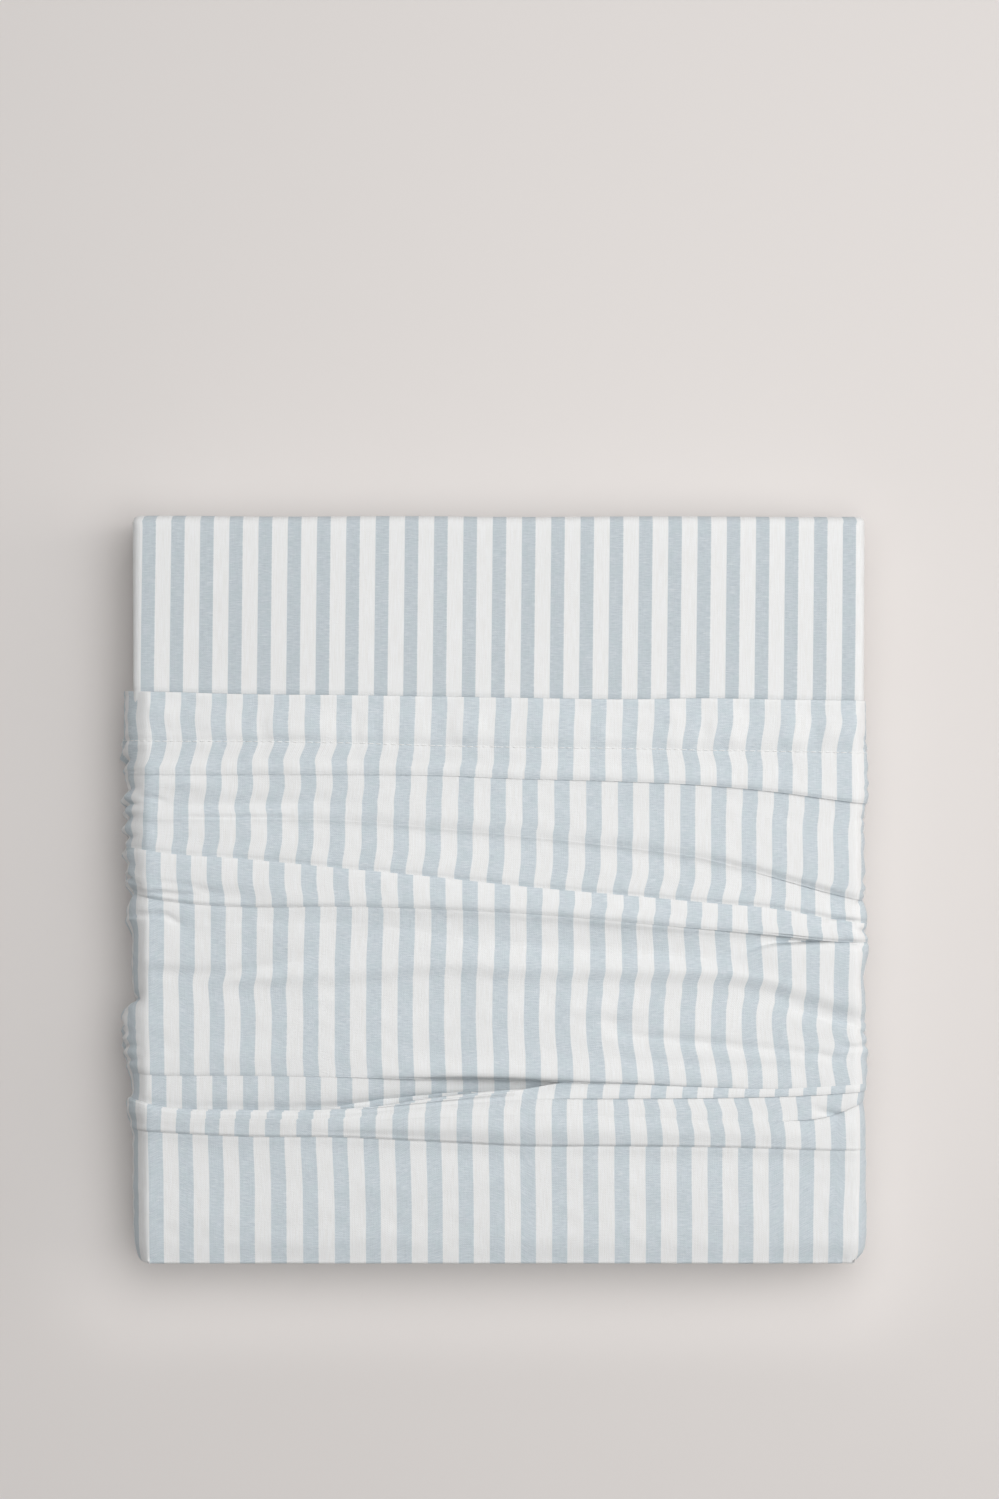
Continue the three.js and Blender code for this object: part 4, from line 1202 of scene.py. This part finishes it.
def striped_cloth(name, cloth, pitch, first_edge, blue_share, depth):
    """Slubby plain weave with even blue and white stripes along V, from the cloth's own
    coordinates in millimetres."""
    f = Finish(bpy.data.materials.new(name))
    place = f.node("ShaderNodeUVMap", {"uv_map": "Cloth"})
    u = f.node("ShaderNodeSeparateXYZ", None, {"Vector": place}, output=0)
    v = f.node("ShaderNodeSeparateXYZ", None, {"Vector": place}, output=1)
    vector = lambda a, b: f.node("ShaderNodeCombineXYZ", None, {"X": a, "Y": b})
    weft = f.noise(vector(u * 0.3, v * 2.1), 1.0, 3.0, 0.6)
    slub = f.noise(vector(u * 0.2, v * 1.3 + 31.0), 1.0, 1.0)
    warp = f.noise(vector(u * 2.1, v * 0.1), 1.0, 3.0, 0.6)
    grain = f.noise(vector(u * 2.2, v * 2.4), 1.0, 2.0, 0.7)
    cloud = f.noise(vector(u * 0.17, v * 0.17 + 9.0), 1.0, 3.0, 0.6)
    drift = f.noise(vector(u * 0.02, v * 0.02 + 5.0), 1.0, 2.0)

    # Stripes: a band round the middle of each repeat, with edges that wander by a thread
    wander = (weft - 0.5) * cloth.edge_wander
    shift = (0.5 - blue_share / 2) * pitch - first_edge
    repeat = f.node("ShaderNodeMath", {"operation": "FRACT"}, {0: (u + wander + shift) / pitch})
    off_middle = f.node("ShaderNodeMath", {"operation": "ABSOLUTE"}, {0: repeat - 0.5})
    half = blue_share / 2
    soft_edge = cloth.edge_softness / pitch
    blue = f.soft(off_middle, half - soft_edge, half + soft_edge, 1.0, 0.0)

    # White weft crosses the blue warp, so the blue is broken up by paler and deeper threads
    scaled = lambda colour: (*(part * depth for part in colour), 1)
    blue_thread = f.blend(f.soft(weft, 0.3, 0.7), scaled(cloth.blue_deep), scaled(cloth.blue_pale))
    blue_thread = f.blend(f.soft(cloud, 0.35, 0.7, 0.0, 0.5), blue_thread, scaled(cloth.blue_green))
    blue_cloth = f.blend(f.soft(slub, 0.60, 0.76, 0.0, 0.22), blue_thread, (*cloth.white, 1))
    white_cloth = f.blend(f.soft(warp, 0.3, 0.7), (*cloth.white_warm, 1), (*cloth.white, 1))
    colour = f.blend(blue, white_cloth, blue_cloth)
    threads = (weft - 0.5) * 0.10 + (warp - 0.5) * 0.13 + (grain - 0.5) * 0.12
    tone = 1.0 + threads * (blue * 0.8 + 0.4) + (drift - 0.5) * 0.04
    colour = f.node(
        "ShaderNodeVectorMath", {"operation": "SCALE"}, {"Vector": colour, "Scale": tone}
    )

    # Plain weave: threads over and under each other, with slubs standing a little proud
    turn = 2 * math.pi / (2 * cloth.thread_pitch)
    sine = lambda value: f.node("ShaderNodeMath", {"operation": "SINE"}, {0: value})
    weave = sine((u + (warp - 0.5) * 0.3) * turn) * sine((v + (weft - 0.5) * 0.3) * turn)
    relief = weave * 0.22 + (weft - 0.5) * 1.1 + (warp - 0.5) * 0.9 + (grain - 0.5) * 0.8
    relief = relief + f.soft(slub, 0.62, 0.74, 0.0, 0.3)
    normal = f.node(
        "ShaderNodeBump", None,
        {"Strength": 0.55, "Distance": cloth.thread_relief * MM, "Height": relief},
    )
    return f.surface({
        "Base Color": colour,
        "Roughness": 0.86 + (grain - 0.5) * 0.1,
        "Normal": normal,
        "Sheen Weight": 0.12,
        "Sheen Roughness": 0.5,
        "Specular IOR Level": 0.25,
    })


def thread_finish(cloth):
    """Twisted white sewing thread."""
    f = Finish(bpy.data.materials.new("hem_thread"))
    place = f.node("ShaderNodeTexCoord", None, None, output=3)
    twist = f.noise(place, 1800.0, 2.0)
    normal = f.node("ShaderNodeBump", None, {"Strength": 0.4, "Distance": 0.00005, "Height": twist})
    colour = f.blend(f.soft(twist, 0.3, 0.7), (*cloth.white_warm, 1), (*cloth.thread, 1))
    return f.surface({"Base Color": colour, "Roughness": 0.6, "Normal": normal})


def floor_finish(studio):
    """Plain painted board, faintly uneven."""
    f = Finish(bpy.data.materials.new("pale_board"))
    place = f.node("ShaderNodeTexCoord", None, None, output=3)
    cloudy = f.noise(place, 3.0, 3.0)
    base = tuple(studio.floor_colour)
    darker = tuple(0.97 * part for part in base)
    colour = f.blend(cloudy, (*darker, 1), (*base, 1))
    return f.surface({"Base Color": colour, "Roughness": 0.9, "Specular IOR Level": 0.2})


def room_light(studio):
    """Light from all round, brighter from the side of the windows."""
    f = Finish(bpy.data.worlds.new("room_light"))
    way = f.node("ShaderNodeTexCoord")
    toward = f.node(
        "ShaderNodeVectorMath", {"operation": "DOT_PRODUCT"},
        {0: way, 1: (math.sin(studio.bright_side), math.cos(studio.bright_side), 0.0)}, output=1,
    )
    strength = (toward * studio.one_sidedness + 1.0) * studio.air_strength
    background = f.node("ShaderNodeBackground", None, {"Color": (1, 1, 1, 1), "Strength": strength})
    f.node("ShaderNodeOutputWorld", None, {"Surface": background})
    return f.owner


def millimetres(name, description, default, low, high):
    """A length setting in millimetres."""
    return bpy.props.FloatProperty(
        name=name, description=description + ", in millimetres", default=default, min=low, max=high
    )


def count(name, description, default, low, high):
    """A whole-number setting."""
    return bpy.props.IntProperty(
        name=name, description=description, default=default, min=low, max=high
    )


def factor(name, description, default, low, high):
    """A share setting."""
    return bpy.props.FloatProperty(
        name=name, description=description, subtype="FACTOR", default=default, min=low, max=high
    )


def colour(name, description, default):
    """A colour setting."""
    return bpy.props.FloatVectorProperty(
        name=name, description=description, subtype="COLOR", default=default, min=0, max=1
    )


class ClothSettings(bpy.types.PropertyGroup):
    """The cloth that both pieces are made of."""

    blue_deep: colour("Deep blue", "Blue thread where it shows most", (0.508, 0.570, 0.615))
    blue_pale: colour("Pale blue", "Blue thread crossed by white", (0.608, 0.660, 0.697))
    blue_green: colour("Green blue", "Where the blue yarn leans to green", (0.522, 0.602, 0.628))
    white: colour("White", "White stripe", (0.800, 0.812, 0.818))
    white_warm: colour("Warm white", "White stripe where the yarn is unbleached", (0.770, 0.773, 0.766))
    thread: colour("Sewing thread", "Thread of the hem's stitching", (0.86, 0.86, 0.85))
    thread_pitch: millimetres("Thread pitch", "Distance between threads", 0.45, 0.1, 2)
    thread_relief: millimetres("Thread relief", "Height of the weave", 0.16, 0, 1)
    edge_wander: millimetres("Edge wander", "How far a stripe's edge wanders", 0.35, 0, 2)
    edge_softness: millimetres("Edge softness", "Half the width of a stripe's edge", 0.16, 0.01, 1)


class CoverSettings(bpy.types.PropertyGroup):
    """The folded duvet cover."""

    half_width: millimetres("Half width", "Half the pack's width", 154.3, 50, 400)
    strips: count("Strips", "Passes of the long strip along the pack", 6, 2, 12)
    plies: count("Plies", "Plies in one strip", 6, 2, 8)
    strip_thickness: millimetres("Strip thickness", "Thickness of one strip", 6.75, 1, 30)
    ply_share: factor("Ply share", "Share of a ply's pitch that is cloth", 0.8, 0.1, 1)
    fold_squareness: bpy.props.FloatProperty(
        name="Fold squareness", description="2 is a round fold, more is a pressed one",
        default=2.7, min=2, max=8,
    )
    stripe_pitch: millimetres("Stripe pitch", "From one stripe to the next", 12.3, 2, 60)
    first_stripe: millimetres(
        "First stripe", "Left edge of the first blue stripe, from the middle", -150.6, -200, 200
    )
    blue_share: factor("Blue share", "Share of the pitch that is blue", 0.462, 0.1, 0.9)
    edge_round: millimetres("Edge rounding", "Width of the rounded side edges", 4.2, 0.5, 30)
    blue_depth: bpy.props.FloatProperty(
        name="Blue depth", description="Under 1 makes the cover's blue deeper than the bag's",
        default=0.92, min=0.3, max=1.5,
    )
    lean: millimetres("Lean", "How far the stripes lean over the part that shows", 0.8, -10, 10)
    run_points: count("Points across", "Points across each ply", 26, 4, 80)
    length_rows: count("Rows along", "Rows along each strip", 18, 4, 60)
    turn_rows: count("Rows in a turn", "Rows round each end fold", 10, 4, 30)


class BagSettings(bpy.types.PropertyGroup):
    """The bag."""

    stripe_pitch: millimetres("Stripe pitch", "From one stripe to the next", BAG_STRIPE_PITCH, 2, 60)
    blue_share: factor("Blue share", "Share of the pitch that is blue", 0.482, 0.1, 0.9)
    hem_height: millimetres("Hem height", "Height of the doubled hem", 1.0, 0.2, 4)
    clearance: millimetres("Clearance", "Height of the bag over the cover", 0.35, 0, 4)
    flat_left: millimetres("Flat to the left", "Where the left shoulder starts", 147.2, 50, 400)
    flat_right: millimetres("Flat to the right", "Where the right shoulder starts", 149.6, 50, 400)
    blue_depth: bpy.props.FloatProperty(
        name="Blue depth", description="Over 1 makes the bag's blue paler than the yarn",
        default=1.01, min=0.3, max=1.5,
    )
    left_drop: millimetres("Left shoulder drop", "Height of the left shoulder", 10.0, 1, 20)
    right_drop: millimetres("Right shoulder drop", "Height of the right shoulder", 5.5, 1, 20)
    shoulder_crease: bpy.props.FloatProperty(
        name="Shoulder crease",
        description="1 rounds the shoulder, and nearly 2 makes it a straight slope",
        default=1.4, min=1, max=1.95,
    )
    foot_half_width: millimetres("Foot half width", "Half the width on the ground", 151.8, 50, 400)
    heel_radius: millimetres("Heel radius", "Radius of the lower edge", 4.0, 1, 15)
    rest_height: millimetres("Rest height", "Height of the bottom cloth", 0.3, 0, 2)
    side_slant: millimetres(
        "Side slant", "How far the side gathers lean towards the foot", 7.0, -30, 30
    )
    corner_radius: millimetres("Corner radius", "Radius of the foot's right corner", 7.5, 1, 30)
    seam_half: millimetres("Seam half length", "Half the closing seam", 147.0, 50, 400)
    top_columns: count("Columns on top", "Columns of points across the top", 190, 20, 400)
    shoulder_columns: count("Columns on a shoulder", "Columns round each shoulder", 9, 3, 30)
    side_columns: count("Columns on a side", "Columns down each side", 14, 3, 40)
    heel_columns: count("Columns at a heel", "Columns round each lower edge", 4, 2, 20)
    bottom_columns: count("Columns below", "Columns across the bottom", 16, 4, 60)
    least_height: millimetres(
        "Least height", "No stitch reaches lower than this over the floor", 0.04, 0, 2
    )
    shoulder_share: factor(
        "Shoulder share", "Share of the bulge past the flat top that the shoulder takes", 0.82, 0.1, 1
    )
    gather_pitch: millimetres("Gather pitch", "From one side gather to the next", 6.4, 1, 40)
    gather_depth: millimetres("Gather depth", "Depth of the side gathers", 1.7, 0, 5)
    stitch_length: millimetres("Stitch length", "Length of a stitch", 2.5, 0.5, 8)
    stitch_pitch: millimetres("Stitch pitch", "From one stitch to the next", 3.2, 0.6, 10)


class StudioSettings(bpy.types.PropertyGroup):
    """The floor, the lights and the camera."""

    floor_colour: colour("Floor", "Colour of the floor", (0.725, 0.692, 0.673))
    key_power: bpy.props.FloatProperty(
        name="Key light", description="Power of the large soft light on the right, in watts",
        default=5.4, min=0, max=500,
    )
    overhead_power: bpy.props.FloatProperty(
        name="Overhead light", description="Power of the light above, in watts",
        default=10.6, min=0, max=500,
    )
    floor_power: bpy.props.FloatProperty(
        name="Floor light", description="Power of the low strips that lighten the shadow, in watts",
        default=0.010, min=0, max=50,
    )
    air_strength: bpy.props.FloatProperty(
        name="Surrounding light", description="Strength of the light from all round",
        default=0.33, min=0, max=5,
    )
    bright_side: bpy.props.FloatProperty(
        name="Bright side",
        description="Where most of the light comes from, turning from north to east",
        default=math.radians(35), subtype="ANGLE",
    )
    one_sidedness: bpy.props.FloatProperty(
        name="One-sidedness", description="How much brighter the bright side is",
        default=0.75, min=0, max=1,
    )
    camera_height: bpy.props.FloatProperty(
        name="Camera height", description="Height of the camera over the pack", unit="LENGTH",
        default=1.8, min=0.3, max=10,
    )
    view_width: bpy.props.FloatProperty(
        name="View width", description="Width of the picture at the pack's top", unit="LENGTH",
        default=0.4196, min=0.05, max=5,
    )
    view_north: bpy.props.FloatProperty(
        name="View middle", description="Middle of the picture, from the pack's middle", unit="LENGTH",
        default=0.0588, min=-1, max=1,
    )


class BEDDING_OT_folded_cover(bpy.types.Operator):
    """Build the duvet cover, folded back and forth both ways into a flat pack"""

    bl_idname = "bedding.folded_cover"
    bl_label = "Folded cover"

    def execute(self, context):
        cover = context.scene.bedding_cover
        cloth = context.scene.bedding_cloth
        finish = striped_cloth(
            "cover_cloth", cloth, cover.stripe_pitch, cover.first_stripe, cover.blue_share,
            cover.blue_depth,
        )
        piece = grid_mesh("folded_cover", *cover_points(cover), finish)
        close_ends(piece, len(strip_section(cover)))
        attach(piece, "root")
        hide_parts("duvet_cover")
        return {"FINISHED"}


class BEDDING_OT_bag(bpy.types.Operator):
    """Build the bag, pushed down into tucks over the pack, and the stitching of its hem"""

    bl_idname = "bedding.bag"
    bl_label = "Bag and stitching"

    def execute(self, context):
        bag = context.scene.bedding_bag
        cloth = context.scene.bedding_cloth
        finish = striped_cloth(
            "bag_cloth", cloth, bag.stripe_pitch, FIRST_STRIPE, bag.blue_share, bag.blue_depth
        )
        points, coordinates, sheet_map, stitch_row = bag_points(bag)
        piece = grid_mesh("bag", points, coordinates, sheet_map, finish)
        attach(piece, "root")
        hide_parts("cloth_bag")
        stitches = hem_stitches(points[stitch_row], bag, thread_finish(cloth))
        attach(stitches, "root")
        return {"FINISHED"}


def close_ends(piece, columns):
    """Cap the two cut ends of the folded strip."""
    mesh = piece.data
    rows = len(mesh.vertices) // columns
    half = columns // 2
    faces = []
    for row, flip in ((0, False), (rows - 1, True)):
        first = row * columns
        for i in range(half - 1):
            a, b = first + i, first + i + 1
            d, c = first + columns - 1 - i, first + columns - 2 - i
            faces.append((a, b, c, d) if not flip else (a, d, c, b))
    start = len(mesh.polygons)
    loops = len(mesh.loops)
    mesh.loops.add(4 * len(faces))
    mesh.polygons.add(len(faces))
    for i, face in enumerate(faces):
        mesh.polygons[start + i].loop_start = loops + 4 * i
        for k, vertex in enumerate(face):
            mesh.loops[loops + 4 * i + k].vertex_index = vertex
    mesh.update(calc_edges=True)
    mesh.validate()


def hem_stitches(line, bag, finish):
    """Short thread stitches lying in the groove along the hem."""
    ring = np.vstack([line, line[:1]])
    lengths = np.concatenate([[0], np.cumsum(np.linalg.norm(np.diff(ring, axis=0), axis=1))])
    count = int(lengths[-1] / bag.stitch_pitch)
    centre = np.array([MIDDLE_X, line[:, 1].mean(), COVER_TOP / 2])
    vertices, faces = [], []
    sides, beads = STITCH["sides"], STITCH["beads"]
    for number in range(count):
        start = number * lengths[-1] / count
        base = len(vertices)
        for bead in range(beads):
            t = bead / (beads - 1)
            at = start + t * bag.stitch_length
            spot, ahead = (
                np.array([np.interp(place, lengths, ring[:, k]) for k in range(3)])
                for place in (at, at + STITCH["look_ahead"])
            )
            way = (ahead - spot) / np.linalg.norm(ahead - spot)
            out = np.cross(way, [0, 1, 0])
            if np.dot(out, spot - centre) < 0:
                out = -out
            out = out / np.linalg.norm(out)
            side = np.cross(way, out)
            thick = STITCH["thick"] * math.sin(math.pi * (0.12 + 0.76 * t)) ** 0.5
            lift = STITCH["lift"] + STITCH["bow"] * math.sin(math.pi * t)
            for k in range(sides):
                angle = 2 * math.pi * k / sides
                point = spot + out * (lift + thick * math.sin(angle))
                point = point + side * thick * math.cos(angle)
                point[2] = max(point[2], bag.least_height)
                vertices.append(point)
        for bead in range(beads - 1):
            for k in range(sides):
                a = base + bead * sides + k
                b = base + bead * sides + (k + 1) % sides
                faces.append((a, b, b + sides, a + sides))
        faces.append(tuple(base + k for k in range(sides))[::-1])
        faces.append(tuple(base + (beads - 1) * sides + k for k in range(sides)))
    mesh = bpy.data.meshes.new("hem_stitching")
    mesh.from_pydata([tuple(v * MM) for v in vertices], [], faces)
    mesh.polygons.foreach_set("use_smooth", np.ones(len(mesh.polygons), bool))
    mesh.update()
    mesh.materials.append(finish)
    piece = bpy.data.objects.new("hem_stitching", mesh)
    bpy.context.scene.collection.objects.link(piece)
    return piece


class BEDDING_OT_studio(bpy.types.Operator):
    """Lay the floor, hang the lights and place the camera"""

    bl_idname = "bedding.studio"
    bl_label = "Floor, lights and camera"

    def execute(self, context):
        studio = context.scene.bedding_studio
        scene = context.scene
        scene.view_settings.view_transform = "Standard"
        half = FLOOR_HALF
        corners = [(-half, -half, 0), (half, -half, 0), (half, half, 0), (-half, half, 0)]
        mesh = bpy.data.meshes.new("floor")
        mesh.from_pydata(corners, [], [(0, 1, 2, 3)])
        mesh.materials.append(floor_finish(studio))
        floor = bpy.data.objects.new("floor", mesh)
        scene.collection.objects.link(floor)
        middle = np.array([MIDDLE_X * MM, 0, 0])
        for lamp in LAMPS:
            self.softbox(scene, lamp, lamp["share"] * getattr(studio, lamp["power"]), middle)
        scene.world = room_light(studio)
        camera_data = bpy.data.cameras.new("camera")
        camera_data.sensor_fit = "HORIZONTAL"
        camera_data.sensor_width = SENSOR_WIDTH
        camera_data.lens = SENSOR_WIDTH * studio.camera_height / studio.view_width
        camera = bpy.data.objects.new("camera", camera_data)
        height = COVER_TOP * MM + studio.camera_height
        camera.location = (middle[0] + CAMERA_ASIDE, studio.view_north, height)
        scene.collection.objects.link(camera)
        scene.camera = camera
        return {"FINISHED"}

    def softbox(self, scene, lamp, power, middle):
        """One soft lamp, turned to what it points at and hidden from the camera."""
        light = bpy.data.lights.new(lamp["name"], "AREA")
        light.shape = "RECTANGLE"
        light.size, light.size_y = lamp["size"]
        light.energy = power
        light.color = lamp["colour"]
        light.spread = math.radians(lamp["spread"])
        softbox = bpy.data.objects.new(lamp["name"], light)
        softbox.location = middle + lamp["place"]
        aim = np.array(lamp["aim"]) - lamp["place"]
        tilt = math.atan2(math.hypot(aim[0], aim[1]), -aim[2])
        softbox.rotation_euler = (tilt, 0, math.atan2(aim[1], aim[0]) - math.pi / 2)
        softbox.visible_camera = False
        scene.collection.objects.link(softbox)


class BEDDING_PT_panel(bpy.types.Panel):
    """Sidebar panel with a button for each piece"""

    bl_idname = "BEDDING_PT_panel"
    bl_label = "Folded duvet cover"
    bl_space_type = "VIEW_3D"
    bl_region_type = "UI"
    bl_category = "Bedding"

    def draw(self, context):
        column = self.layout.column()
        for operator in OPERATORS:
            column.operator(operator.bl_idname)


OPERATORS = (BEDDING_OT_folded_cover, BEDDING_OT_bag, BEDDING_OT_studio)
SETTINGS = {
    "bedding_cloth": ClothSettings,
    "bedding_cover": CoverSettings,
    "bedding_bag": BagSettings,
    "bedding_studio": StudioSettings,
}


def register():
    for group in SETTINGS.values():
        bpy.utils.register_class(group)
    for name, group in SETTINGS.items():
        setattr(bpy.types.Scene, name, bpy.props.PointerProperty(type=group))
    for operator in OPERATORS:
        bpy.utils.register_class(operator)
    bpy.utils.register_class(BEDDING_PT_panel)


def unregister():
    bpy.utils.unregister_class(BEDDING_PT_panel)
    for operator in reversed(OPERATORS):
        bpy.utils.unregister_class(operator)
    for name in SETTINGS:
        delattr(bpy.types.Scene, name)
    for group in reversed(SETTINGS.values()):
        bpy.utils.unregister_class(group)


def main():
    register()
    bpy.ops.bedding.folded_cover()
    bpy.ops.bedding.bag()
    bpy.ops.bedding.studio()


if __name__ == "__main__":
    main()
